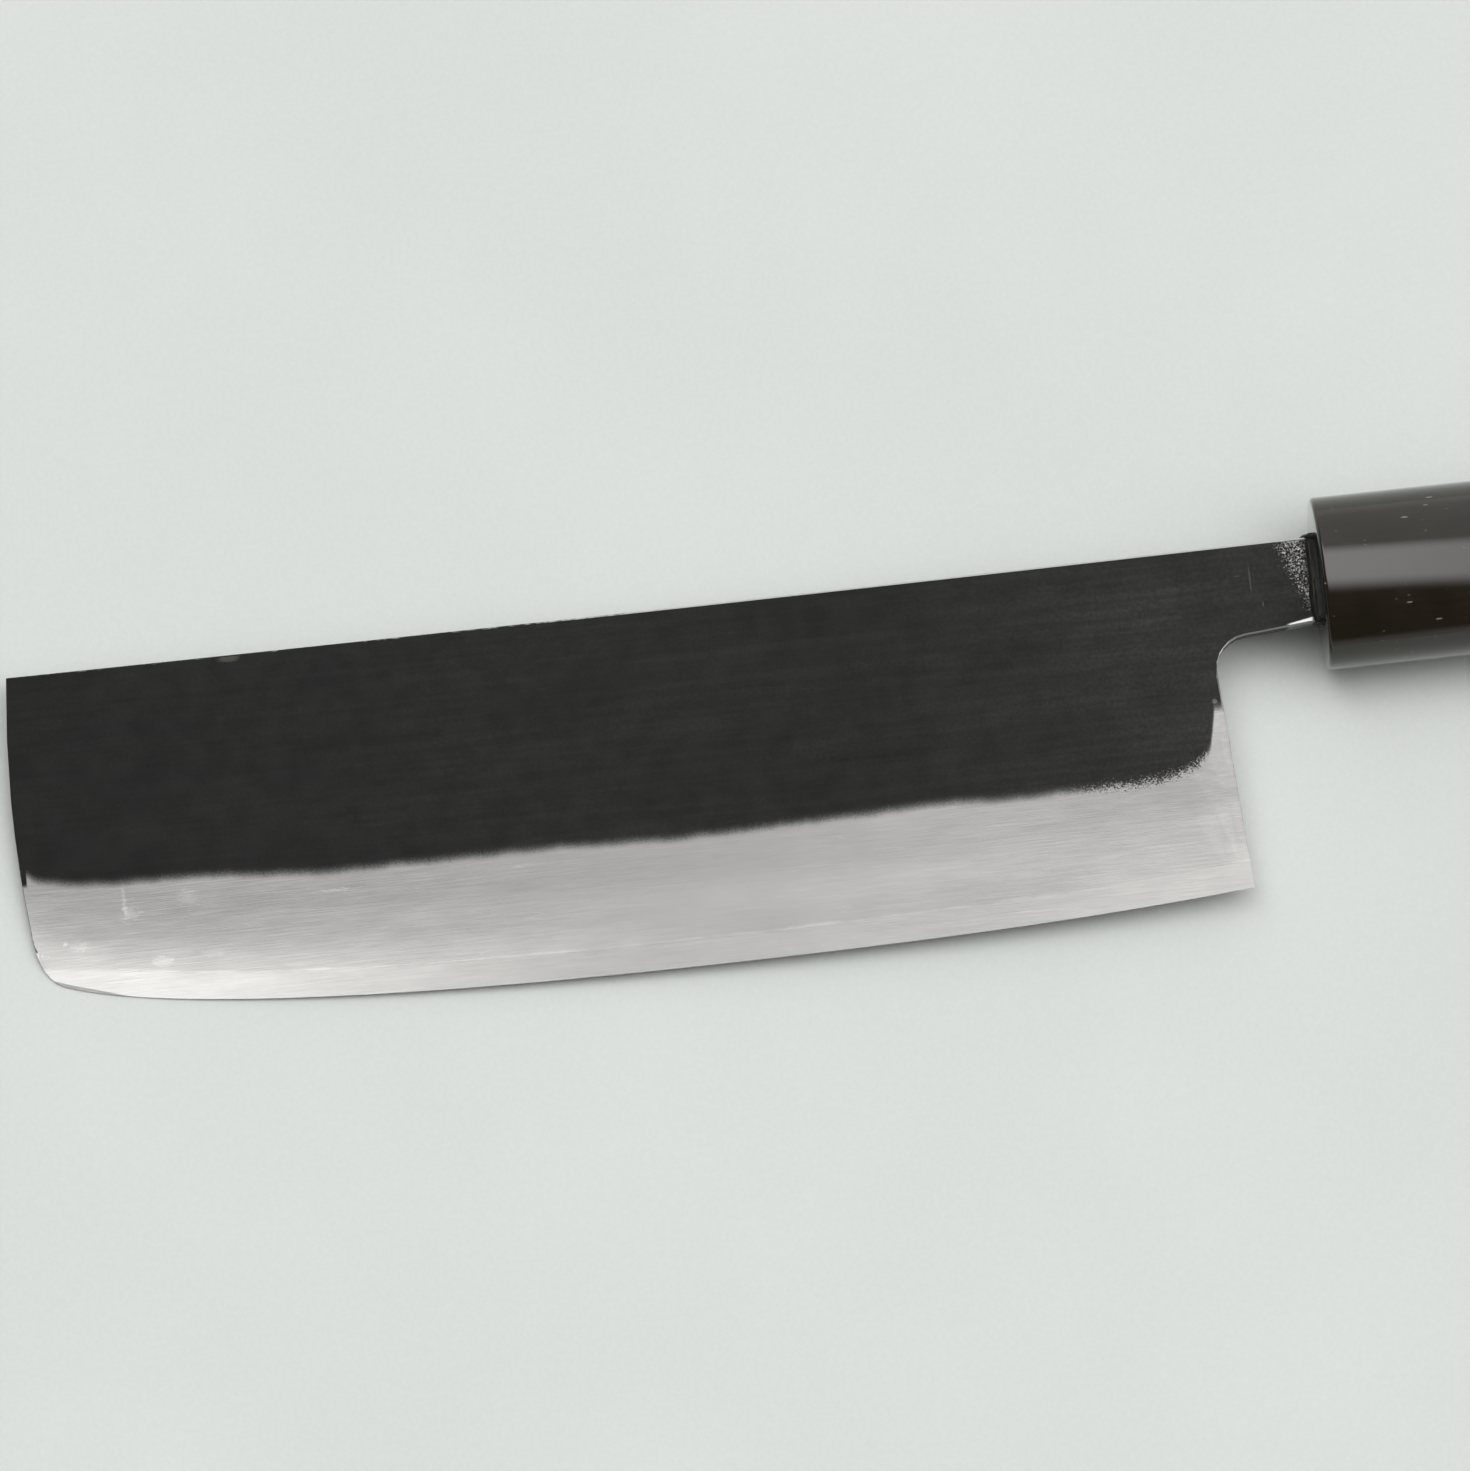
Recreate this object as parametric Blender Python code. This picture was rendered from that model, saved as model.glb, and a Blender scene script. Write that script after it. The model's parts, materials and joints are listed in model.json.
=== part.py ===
# Usuba, a double-bevel vegetable knife, lying on its side as it rests on a table.
# The blade is a three-layer forging: a hard steel core between two soft-iron cheeks.
# Its tang is bedded in a dowel that joins an oval collar and an oval wooden grip.
#
# Every piece is modelled flat in the knife's own frame: u along the spine from the tip towards
# the handle, v from the spine (0) down to the edge (negative), and z across the blade, with the
# blade's mid-plane at 0. One empty then lays the whole knife on the table, +Z up.

from math import atan, cos, exp, pi, radians, sin, sqrt

import bmesh
import bpy
from mathutils import Matrix, Vector

# Blade outline, in metres
NECK_END = 0.1776          # spine from the tip to the collar's front face
SPINE_SAG = 0.00025        # the spine dips this much at its middle
HEEL_U = 0.1626            # rear wall of the heel, at the choil
HEEL_DEPTH = 0.0463        # spine line to the heel's corner
HEEL_LEAN = 0.00175        # the heel's corner stands this far behind the choil
HEEL_SLOPE = 0.087         # rise of the edge where it reaches the heel
HEEL_PULL = 0.025          # how long the edge keeps that slope
BELLY_U = 0.088            # lowest place of the edge
BELLY_DEPTH = 0.04885
BELLY_PULL_FRONT = 0.045
BELLY_PULL_REAR = 0.025
NOSE_U = 0.0040            # where the rounded nose ends and the sharp edge begins
NOSE_DEPTH = 0.0425
NOSE_SLOPE = -0.38
NOSE_PULL = 0.010
TIP_FOOT_U = 0.0002        # lower end of the square tip's wall, where the nose begins
TIP_FOOT_DEPTH = 0.0355
TIP_BULGE = 0.0009         # the tip's wall bows out this much
NOSE_DROP = 0.0038         # the nose's first stretch, down along the wall
NOSE_RUN = 0.0021          # and its last stretch, along the edge
NECK_DEPTH = 0.0115        # height of the neck at the collar
NECK_FLARE = 0.0009        # the neck is this much deeper where the choil starts
CHOIL_RADIUS = 0.0046

# Blade thickness, as distance from the mid-plane
TIP_HALF = 0.00100
NECK_HALF = 0.00170
FLAT_TAPER = 0.00018       # the flats thin by this from the spine to the grinding line
EDGE_HALF = 0.00012
CORE_HALF = 0.00030        # half of the steel core's thickness
WELD_SEAM = 0.00010        # between core and cheek
LIP_HALF = 0.00006         # the iron's feathered lip, above the bared steel
STEEL_HEIGHT = 0.0036      # bared steel, from the edge up to the iron's lip
BARE_STEEP = 0.0019        # the part of it that is ground thinner than the core plate
SPINE_CHAMFER = 0.0003

# Grinding line between the flats and the bevels
GRIND_DEPTH = 0.0308
GRIND_TIP_RISE = 0.0043
GRIND_TIP_FADE = 0.0090
GRIND_HEEL_RISE = 0.0090
GRIND_HEEL_FADE = 0.0026

# Tang
SHOULDER_INSET = 0.0008    # the neck's full height goes this far into the collar
SHOULDER_LENGTH = 0.0030
TANG_LENGTH = 0.088        # from the collar's front face
TANG_FRONT_HEIGHT = 0.0090
TANG_END_HEIGHT = 0.0050
TANG_END_HALF = 0.00110

# Handle
HANDLE_DROP = 0.0063       # the handle's axis lies this far below the spine line
COLLAR_HEIGHT = 0.0235
COLLAR_THICKNESS = 0.0185
COLLAR_LENGTH = 0.028
COLLAR_RIM = 0.0006        # radius of the front rim
COLLAR_WALL = 0.0060       # front wall, in front of the dowel's bore
MOUTH_MARGIN = 0.0006      # the mouth's slot is this much larger than the neck all round
GRIP_LENGTH = 0.100
GRIP_SWELL = 0.0006        # the grip grows by this on each side towards the butt
BUTT_RADIUS = 0.0030
DOWEL_DIAMETER = 0.0140
DOWEL_TAIL = 0.0083        # the dowel runs on this far past the tang's end
DOWEL_CHAMFER = 0.0008
WOOD_FIT = 0.0003          # between dowel, collar and grip
BEDDING_THICKNESS = 0.0005
BOND_GAP = 0.00015         # between resin or adhesive and what it holds
BEAD_PROUD = 0.0013        # resin bead in front of the collar's face
BEAD_TOE = 0.0003
BEAD_WIDTH = 0.0011
BEAD_FULLNESS = 0.8        # share of its width that the bead has halfway to the face
SLOT_CORNER = 0.0012       # corner radius of the resin and the mouth
CORNER_SHARE = 0.9         # and at most this share of their half thickness

# Fineness of the curves
NOSE_STEPS = 6
FRONT_STEPS = 16
REAR_STEPS = 14
HEEL_CROWDING = 2.0        # steps get shorter towards the heel, where the grinding line turns up
RIDGE_ROUNDS = 12          # rounds that bring a slanting row onto the grinding line
CHOIL_STEPS = 6
TANG_STEPS = 4
OVAL_SEGMENTS = 64
DOWEL_SEGMENTS = 48
ROUND_STEPS = 4
CORNER_STEPS = 3
MERGE = 0.000002

DOWEL_FRONT = NECK_END + COLLAR_WALL + WOOD_FIT
COLLAR_END = NECK_END + COLLAR_LENGTH
GRIP_START = COLLAR_END + WOOD_FIT
TANG_END = NECK_END + TANG_LENGTH
DOWEL_END = TANG_END + DOWEL_TAIL
CHOIL_V = -(NECK_DEPTH + NECK_FLARE + CHOIL_RADIUS)
LIP_OUTER = CORE_HALF + WELD_SEAM + LIP_HALF


def clear_scene():
    for old in list(bpy.data.objects):
        bpy.data.objects.remove(old, do_unlink=True)


def material(name, colour, roughness, metallic):
    made = bpy.data.materials.new(name)
    made.use_nodes = True
    shader = made.node_tree.nodes["Principled BSDF"]
    shader.inputs["Base Color"].default_value = (*colour, 1.0)
    shader.inputs["Roughness"].default_value = roughness
    shader.inputs["Metallic"].default_value = metallic
    return made


def add_object(name, bm, finish, parent, smooth_angle=30.0):
    bmesh.ops.recalc_face_normals(bm, faces=bm.faces)
    mesh = bpy.data.meshes.new(name)
    bm.to_mesh(mesh)
    bm.free()
    mesh.materials.append(finish)
    mesh.shade_smooth()
    mesh.set_sharp_from_angle(angle=radians(smooth_angle))
    made = bpy.data.objects.new(name, mesh)
    bpy.context.scene.collection.objects.link(made)
    made.parent = parent
    return made


def cut(body, cutter):
    """Take the cutter's shape out of the body."""
    cutter.hide_render = True
    cutter.display_type = "WIRE"
    step = body.modifiers.new("cut_" + cutter.name, "BOOLEAN")
    step.operation = "DIFFERENCE"
    step.solver = "EXACT"
    step.object = cutter


def mix(a, b, share):
    return a + (b - a) * share


def bezier(start, pull_start, pull_end, end, steps, crowding=1.0):
    """Points of one cubic curve, without its first point; crowding over 1 draws them to its end."""
    points = []
    for i in range(1, steps + 1):
        t = 1.0 - (1.0 - i / steps) ** crowding
        r = 1.0 - t
        near_start = start * r ** 3 + pull_start * 3 * r * r * t
        near_end = pull_end * 3 * r * t * t + end * t ** 3
        points.append(near_start + near_end)
    return points


# Outline of the blade

def spine_v(u):
    share = min(max(u / NECK_END, 0.0), 1.0)
    return -4.0 * SPINE_SAG * share * (1.0 - share)


def bottom_outline():
    """The lower outline from the foot of the tip's wall round the nose and along the edge."""
    foot = Vector((TIP_FOOT_U, -TIP_FOOT_DEPTH))
    nose = Vector((NOSE_U, -NOSE_DEPTH))
    belly = Vector((BELLY_U, -BELLY_DEPTH))
    heel = Vector((HEEL_U + HEEL_LEAN, -HEEL_DEPTH))
    wall_way = Vector((4.0 * TIP_BULGE / TIP_FOOT_DEPTH, -1.0))
    nose_way = Vector((1.0, NOSE_SLOPE))
    heel_way = Vector((1.0, HEEL_SLOPE))
    points = [foot]
    points += bezier(foot, foot + wall_way * NOSE_DROP, nose - nose_way * NOSE_RUN, nose, NOSE_STEPS)
    points += bezier(nose, nose + nose_way * NOSE_PULL, belly - Vector((BELLY_PULL_FRONT, 0.0)),
                     belly, FRONT_STEPS)
    points += bezier(belly, belly + Vector((BELLY_PULL_REAR, 0.0)), heel - heel_way * HEEL_PULL,
                     heel, REAR_STEPS, HEEL_CROWDING)
    return points


BOTTOM = bottom_outline()


def edge_v(u):
    """Depth of the sharp edge; in front of the nose it runs on along the nose's slope."""
    if u <= NOSE_U:
        return -NOSE_DEPTH + NOSE_SLOPE * (u - NOSE_U)
    for a, b in zip(BOTTOM[NOSE_STEPS:], BOTTOM[NOSE_STEPS + 1:]):
        if u <= b.x:
            return mix(a.y, b.y, (u - a.x) / (b.x - a.x))
    return BOTTOM[-1].y


def grind_v(u):
    """The grinding line: level along the blade, rising at the tip and at the heel."""
    tip = GRIND_TIP_RISE * exp(-max(u, 0.0) / GRIND_TIP_FADE)
    heel = GRIND_HEEL_RISE * exp(-max(HEEL_U - u, 0.0) / GRIND_HEEL_FADE)
    return -GRIND_DEPTH + tip + heel


def flat_half(u, v):
    """Half thickness on the flats, which are true planes."""
    return mix(TIP_HALF, NECK_HALF, u / NECK_END) + FLAT_TAPER * v / GRIND_DEPTH


def half_thickness(u, v):
    if u > NECK_END:
        return mix(flat_half(NECK_END, v), TANG_END_HALF, (u - NECK_END) / TANG_LENGTH)
    ridge = grind_v(u)
    if v >= ridge:
        return flat_half(u, v)
    edge = edge_v(u)
    height = v - edge
    if height >= STEEL_HEIGHT:
        share = (height - STEEL_HEIGHT) / (ridge - edge - STEEL_HEIGHT)
        return mix(LIP_OUTER, flat_half(u, ridge), share)
    return mix(EDGE_HALF, LIP_OUTER, max(height, 0.0) / STEEL_HEIGHT)


def column(share, foot, to_edge):
    """One row of points from the spine down to the lower outline at foot."""
    top = share * HEEL_U

    def place(v):
        ramp = max(CHOIL_V - v, 0.0) / (CHOIL_V - foot.y)
        fall = v / foot.y
        bow = TIP_BULGE * 4.0 * fall * (1.0 - fall) * (1.0 - share) ** 3
        return Vector((top + (foot.x - top) * ramp - bow, v, 0.0))

    ridge = -GRIND_DEPTH
    for _ in range(RIDGE_ROUNDS):
        ridge = grind_v(place(ridge).x)
    lip = max(edge_v(foot.x) + STEEL_HEIGHT, foot.y)
    spine = spine_v(top)
    levels = [spine, mix(spine, CHOIL_V, 0.5), CHOIL_V, mix(CHOIL_V, ridge, 0.5), ridge,
              mix(ridge, lip, 0.5), lip]
    if to_edge:
        levels += [max(edge_v(foot.x) + BARE_STEEP, foot.y), foot.y]
    return [place(v) for v in levels]


def body_columns(to_edge):
    first = BOTTOM[0].x
    length = BOTTOM[-1].x - first
    return [column((foot.x - first) / length, foot, to_edge) for foot in BOTTOM]


def tang_section(u):
    """Upper and lower limit of neck and tang, inside and in front of the handle."""
    axis = -HANDLE_DROP
    shoulder = NECK_END + SHOULDER_INSET
    front = shoulder + SHOULDER_LENGTH
    half_front = TANG_FRONT_HEIGHT / 2
    if u <= shoulder:
        return 0.0, -NECK_DEPTH
    if u <= front:
        share = (u - shoulder) / SHOULDER_LENGTH
        return mix(0.0, axis + half_front, share), mix(-NECK_DEPTH, axis - half_front, share)
    half = mix(half_front, TANG_END_HEIGHT / 2, (u - front) / (TANG_END - front))
    return axis + half, axis - half


def neck_columns():
    """From the choil's arc along the neck to the end of the tang."""
    centre = Vector((HEEL_U + CHOIL_RADIUS, CHOIL_V))
    slope = atan(NECK_FLARE / (NECK_END - centre.x))
    feet = []
    for i in range(CHOIL_STEPS + 1):
        turn = mix(pi, pi / 2 + slope, i / CHOIL_STEPS)
        feet.append(centre + CHOIL_RADIUS * Vector((cos(turn), sin(turn))))
    columns = []
    for foot in feet:
        spine = spine_v(foot.x)
        columns.append([Vector((foot.x, mix(spine, foot.y, i / 2), 0.0)) for i in range(3)])
    shoulder = NECK_END + SHOULDER_INSET
    front = shoulder + SHOULDER_LENGTH
    stations = [NECK_END, shoulder, front]
    stations += [mix(front, TANG_END, i / TANG_STEPS) for i in range(1, TANG_STEPS + 1)]
    for u in stations:
        top, bottom = tang_section(u)
        columns.append([Vector((u, mix(top, bottom, i / 2), 0.0)) for i in range(3)])
    return columns


def add_grid(bm, columns):
    rows = [[bm.verts.new(point) for point in points] for points in columns]
    for left, right in zip(rows, rows[1:]):
        for i in range(len(left) - 1):
            bm.faces.new((left[i], left[i + 1], right[i + 1], right[i]))


def blade_sheet(to_edge):
    """The blade's side view as one flat sheet of faces."""
    bm = bmesh.new()
    add_grid(bm, body_columns(to_edge))
    add_grid(bm, neck_columns())
    bmesh.ops.remove_doubles(bm, verts=bm.verts, dist=MERGE)
    return bm


def blade_layer(name, finish, parent, to_edge, inner, outer):
    """Give the sheet its thickness: inner and outer are heights over the mid-plane."""
    bm = blade_sheet(to_edge)
    made = bmesh.ops.extrude_face_region(bm, geom=bm.faces[:])
    raised = {item for item in made["geom"] if isinstance(item, bmesh.types.BMVert)}
    for vert in bm.verts:
        height = outer if vert in raised else inner
        vert.co.z = height(vert.co.x, vert.co.y)
    mark_rim(bm, raised)
    return add_object(name, bm, finish, parent)


def mark_rim(bm, raised):
    """Weigh the outer edges of spine, tip, choil and neck, which get a chamfer."""
    weight = bm.edges.layers.float.new("bevel_weight_edge")
    for edge in bm.edges:
        ends = edge.verts
        on_rim = all(vert in raised for vert in ends)
        walls = [face for face in edge.link_faces if any(vert not in raised for vert in face.verts)]
        on_flat = all(vert.co.y > grind_v(vert.co.x) - MERGE for vert in ends)
        outside = all(vert.co.x < NECK_END + MERGE for vert in ends)
        if on_rim and walls and on_flat and outside:
            edge[weight] = 1.0


def add_chamfer(body, width):
    step = body.modifiers.new("chamfer", "BEVEL")
    step.width = width
    step.segments = 1
    step.limit_method = "WEIGHT"
    step.offset_type = "OFFSET"


def build_blade(parent):
    iron = material("soft_iron", (0.035, 0.035, 0.033), 0.45, 0.7)
    steel = material("core_steel", (0.62, 0.62, 0.60), 0.30, 1.0)
    face = CORE_HALF + WELD_SEAM
    upper = blade_layer("cheek_upper", iron, parent, False, lambda u, v: face, half_thickness)
    lower = blade_layer("cheek_lower", iron, parent, False, lambda u, v: -face,
                        lambda u, v: -half_thickness(u, v))
    for cheek in (upper, lower):
        add_chamfer(cheek, SPINE_CHAMFER)
    blade_layer("core_steel", steel, parent, True,
                lambda u, v: -min(CORE_HALF, half_thickness(u, v)),
                lambda u, v: min(CORE_HALF, half_thickness(u, v)))


# Lofts along the handle

def loft(sections):
    """A closed solid through rings of equal length, capped at both ends."""
    bm = bmesh.new()
    rings = [[bm.verts.new(point) for point in ring] for ring in sections]
    for a, b in zip(rings, rings[1:]):
        for i in range(len(a)):
            j = (i + 1) % len(a)
            bm.faces.new((a[i], a[j], b[j], b[i]))
    bm.faces.new(list(reversed(rings[0])))
    bm.faces.new(rings[-1])
    return bm


def oval_ring(u, half_height, half_thick, segments):
    ring = []
    for i in range(segments):
        turn = 2.0 * pi * i / segments
        ring.append(Vector((u, -HANDLE_DROP + half_height * cos(turn), half_thick * sin(turn))))
    return ring


def rounded_ring(u, margin, radius):
    """The section of neck or tang at u, grown by margin, with rounded corners."""
    top, bottom = tang_section(u)
    thick = half_thickness(max(u, NECK_END), 0.0) + margin
    high = top + margin
    low = bottom - margin
    radius = min(radius, thick * CORNER_SHARE)
    corners = ((high - radius, thick - radius, 0.0), (low + radius, thick - radius, pi / 2),
               (low + radius, radius - thick, pi), (high - radius, radius - thick, 1.5 * pi))
    ring = []
    for v, z, start in corners:
        for i in range(CORNER_STEPS + 1):
            turn = start + pi / 2 * i / CORNER_STEPS
            ring.append(Vector((u, v + radius * cos(turn), z + radius * sin(turn))))
    return ring


def tang_ring(u, margin, at):
    """The same section with square corners, set at another place along the axis."""
    top, bottom = tang_section(u)
    thick = half_thickness(max(u, NECK_END), 0.0) + margin
    return [Vector((at, top + margin, thick)), Vector((at, bottom - margin, thick)),
            Vector((at, bottom - margin, -thick)), Vector((at, top + margin, -thick))]


def tang_room(name, finish, parent, margin, start, reach):
    """The room that neck and tang take from start to their end, grown by margin."""
    shoulder = NECK_END + SHOULDER_INSET
    front = shoulder + SHOULDER_LENGTH
    rings = []
    if start < shoulder:
        rings = [tang_ring(start, margin, start), tang_ring(shoulder, margin, shoulder),
                 tang_ring(front, margin, front)]
    else:
        rings = [tang_ring(start, margin, start)]
    rings.append(tang_ring(TANG_END, margin, TANG_END + reach))
    return add_object(name, loft(rings), finish, parent)


def build_collar(parent):
    horn = material("collar_horn", (0.045, 0.036, 0.030), 0.22, 0.0)
    high = COLLAR_HEIGHT / 2
    thick = COLLAR_THICKNESS / 2
    rings = []
    for i in range(ROUND_STEPS + 1):
        turn = pi / 2 * i / ROUND_STEPS
        inset = COLLAR_RIM * (1.0 - sin(turn))
        rings.append(oval_ring(NECK_END + COLLAR_RIM * (1.0 - cos(turn)), high - inset, thick - inset,
                               OVAL_SEGMENTS))
    rings.append(oval_ring(COLLAR_END, high, thick, OVAL_SEGMENTS))
    collar = add_object("collar", loft(rings), horn, parent)
    slot_rings = [rounded_ring(NECK_END, MOUTH_MARGIN, SLOT_CORNER) for _ in range(2)]
    for point in slot_rings[0]:
        point.x -= COLLAR_WALL
    for point in slot_rings[1]:
        point.x += COLLAR_WALL * 1.5
    cut(collar, add_object("mouth_slot_cutter", loft(slot_rings), horn, parent))
    cut(collar, bore_cutter("collar_bore_cutter", NECK_END + COLLAR_WALL, COLLAR_END + COLLAR_WALL,
                            horn, parent))


def bore_cutter(name, start, end, finish, parent):
    radius = DOWEL_DIAMETER / 2 + WOOD_FIT
    rings = [oval_ring(u, radius, radius, DOWEL_SEGMENTS) for u in (start, end)]
    return add_object(name, loft(rings), finish, parent)


def build_grip(parent):
    wood = material("grip_wood", (0.040, 0.030, 0.024), 0.35, 0.0)
    high = COLLAR_HEIGHT / 2
    thick = COLLAR_THICKNESS / 2
    body = GRIP_LENGTH - BUTT_RADIUS
    rings = []
    for i in range(ROUND_STEPS + 1):
        share = i / ROUND_STEPS
        swell = GRIP_SWELL * share * share
        rings.append(oval_ring(GRIP_START + body * share, high + swell, thick + swell, OVAL_SEGMENTS))
    for i in range(1, ROUND_STEPS + 1):
        turn = pi / 2 * i / ROUND_STEPS
        inset = BUTT_RADIUS * (1.0 - cos(turn)) - GRIP_SWELL
        rings.append(oval_ring(GRIP_START + body + BUTT_RADIUS * sin(turn), high - inset, thick - inset,
                               OVAL_SEGMENTS))
    grip = add_object("handle_grip", loft(rings), wood, parent)
    cut(grip, bore_cutter("grip_bore_cutter", GRIP_START - COLLAR_WALL,
                          DOWEL_END + WOOD_FIT, wood, parent))


def build_dowel(parent):
    beech = material("dowel_wood", (0.48, 0.33, 0.19), 0.60, 0.0)
    radius = DOWEL_DIAMETER / 2
    slim = radius - DOWEL_CHAMFER
    rings = [oval_ring(DOWEL_FRONT, slim, slim, DOWEL_SEGMENTS),
             oval_ring(DOWEL_FRONT + DOWEL_CHAMFER, radius, radius, DOWEL_SEGMENTS),
             oval_ring(DOWEL_END - DOWEL_CHAMFER, radius, radius, DOWEL_SEGMENTS),
             oval_ring(DOWEL_END, slim, slim, DOWEL_SEGMENTS)]
    dowel = add_object("core_dowel", loft(rings), beech, parent)
    margin = BEDDING_THICKNESS + 2.0 * BOND_GAP
    cut(dowel, tang_room("dowel_slot_cutter", beech, parent, margin, DOWEL_FRONT - WOOD_FIT, margin))


def build_bedding(parent):
    glue = material("bedding_adhesive", (0.55, 0.47, 0.28), 0.40, 0.0)
    margin = BEDDING_THICKNESS + BOND_GAP
    bedding = tang_room("tang_bedding", glue, parent, margin, DOWEL_FRONT, margin)
    cut(bedding, tang_room("bedding_cutter", glue, parent, BOND_GAP, DOWEL_FRONT - WOOD_FIT, BOND_GAP))


def build_mouth_resin(parent):
    resin = material("mouth_resin", (0.012, 0.012, 0.012), 0.30, 0.0)
    toe = NECK_END - BEAD_PROUD
    face = NECK_END - BOND_GAP
    plug = MOUTH_MARGIN - BOND_GAP
    half_width = mix(BEAD_TOE, BEAD_WIDTH, BEAD_FULLNESS)
    plan = ((toe, BEAD_TOE), (mix(toe, face, 0.5), half_width), (face, BEAD_WIDTH), (face, plug),
            (DOWEL_FRONT - WOOD_FIT - BOND_GAP, plug))
    rings = []
    for place, margin in plan:
        ring = rounded_ring(NECK_END, margin, SLOT_CORNER)
        for point in ring:
            point.x = place
        rings.append(ring)
    seal = add_object("mouth_resin", loft(rings), resin, parent)
    cut(seal, tang_room("neck_cutter", resin, parent, BOND_GAP, NECK_END - 2.0 * BEAD_PROUD, BOND_GAP))


# How the knife lies

def lying_turn():
    """Turn from the knife's frame to the table.

    The knife lies on the ground facet at its nose and on the collar's front. The table is the
    plane z = -(depth + rise * v + pitch * u): rise is the facet's own slope, and pitch takes it
    from the nose to the oval under the collar.
    """
    rise = (LIP_OUTER - EDGE_HALF) / STEEL_HEIGHT
    under_collar = sqrt((COLLAR_THICKNESS / 2) ** 2 + (rise * COLLAR_HEIGHT / 2) ** 2)
    climb = under_collar - EDGE_HALF - rise * (NOSE_DEPTH - HANDLE_DROP)
    pitch = climb / (NECK_END + COLLAR_RIM - NOSE_U)
    up = Vector((pitch, rise, 1.0)).normalized()
    along = (Vector((1.0, 0.0, 0.0)) - up * up.x).normalized()
    across = up.cross(along)
    return Matrix((along, across, up))


def lay_down(root):
    """Turn the knife and set its box's bottom centre at the origin."""
    turn = lying_turn()
    bpy.context.view_layer.update()
    graph = bpy.context.evaluated_depsgraph_get()
    low = Vector((1.0, 1.0, 1.0))
    high = -low
    for piece in root.children:
        if piece.hide_render:
            continue
        for vert in piece.evaluated_get(graph).data.vertices:
            point = turn @ vert.co
            for k in range(3):
                low[k] = min(low[k], point[k])
                high[k] = max(high[k], point[k])
    middle = (low + high) / 2
    root.matrix_world = Matrix.Translation((-middle.x, -middle.y, -low.z)) @ turn.to_4x4()


def main():
    clear_scene()
    root = bpy.data.objects.new("knife_frame", None)
    bpy.context.scene.collection.objects.link(root)
    build_blade(root)
    build_collar(root)
    build_grip(root)
    build_dowel(root)
    build_bedding(root)
    build_mouth_resin(root)
    lay_down(root)


main()
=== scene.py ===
# %% [markdown]
# # A forged vegetable knife
#
# The knife is a tall, square-tipped blade with a black forge skin, bright ground bevels and an oval
# stick handle. Its construction is already solved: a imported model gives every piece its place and
# its size. This lesson dresses that model. It reworks copies of the plain solids into finer meshes,
# gives every surface a finish made of nodes, and sets up the table, the light and the camera.

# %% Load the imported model
import json
from math import exp, pi, radians

import bmesh
import bpy
import numpy as np
from mathutils import Matrix, Vector
from mathutils.geometry import convex_hull_2d

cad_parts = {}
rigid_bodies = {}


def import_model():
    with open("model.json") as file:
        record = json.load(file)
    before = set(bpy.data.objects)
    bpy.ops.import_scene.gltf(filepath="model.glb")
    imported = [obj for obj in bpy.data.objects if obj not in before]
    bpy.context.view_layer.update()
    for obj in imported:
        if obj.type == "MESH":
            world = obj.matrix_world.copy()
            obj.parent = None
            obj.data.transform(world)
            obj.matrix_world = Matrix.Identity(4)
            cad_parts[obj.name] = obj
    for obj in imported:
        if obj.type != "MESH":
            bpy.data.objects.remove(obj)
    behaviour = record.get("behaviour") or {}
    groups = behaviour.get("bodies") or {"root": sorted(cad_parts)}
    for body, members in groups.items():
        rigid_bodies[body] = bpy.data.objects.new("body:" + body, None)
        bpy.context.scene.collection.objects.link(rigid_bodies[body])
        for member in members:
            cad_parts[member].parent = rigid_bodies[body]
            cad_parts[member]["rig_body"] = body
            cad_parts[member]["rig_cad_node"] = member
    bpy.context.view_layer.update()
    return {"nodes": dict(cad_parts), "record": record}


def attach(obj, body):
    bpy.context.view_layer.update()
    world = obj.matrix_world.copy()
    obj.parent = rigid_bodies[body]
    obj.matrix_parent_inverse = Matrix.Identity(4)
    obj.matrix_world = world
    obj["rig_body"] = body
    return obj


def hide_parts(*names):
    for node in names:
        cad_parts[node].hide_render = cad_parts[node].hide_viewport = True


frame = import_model()
print("nodes:", ", ".join(sorted(frame["nodes"])))

# %% [markdown]
# ## A bench for the pieces
#
# The knife lies tilted, on the ground facet at its nose and on its collar. Modelling along tilted
# axes is awkward, so each piece is made flat on a bench and laid down at the end. On the bench x
# runs along the spine from the tip to the butt, y up from the edge to the spine, and z across the
# blade, with the tip's corner at the origin. The record's mounts give the three directions.

# %% Find how the knife lies
MM = 0.001
CLOSE = 0.01 * MM
mounts = {mount["name"]: mount for mount in frame["record"]["mounts"]}
along = Vector(mounts["butt_face"]["axis"]).normalized()
across = Vector(mounts["blade_face_upper"]["axis"]) - Vector(mounts["blade_face_lower"]["axis"])
across = (across - along * across.dot(along)).normalized()
to_spine = across.cross(along)
core_points = [vert.co.copy() for vert in frame["nodes"]["core_steel"].data.vertices]


def tip_reach(point):
    return point.dot(to_spine) - point.dot(along)


farthest = max(tip_reach(point) for point in core_points)
corner = [point for point in core_points if tip_reach(point) > farthest - CLOSE]
tip = (min(corner, key=across.dot) + max(corner, key=across.dot)) / 2
LIE = Matrix.Translation(tip) @ Matrix((along, to_spine, across)).transposed().to_4x4()
BENCH = LIE.inverted()
print("tip's corner on the table, mm:", [round(value / MM, 2) for value in tip])

# %% [markdown]
# ## The camera
#
# The picture is taken from almost straight above the blade, with a long lens about a metre away.
# The camera is placed on the bench, where its direction is easy to say, and laid down with it: it
# leans from the blade's normal towards the edge, and it is rolled so that the spine climbs.

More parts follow.
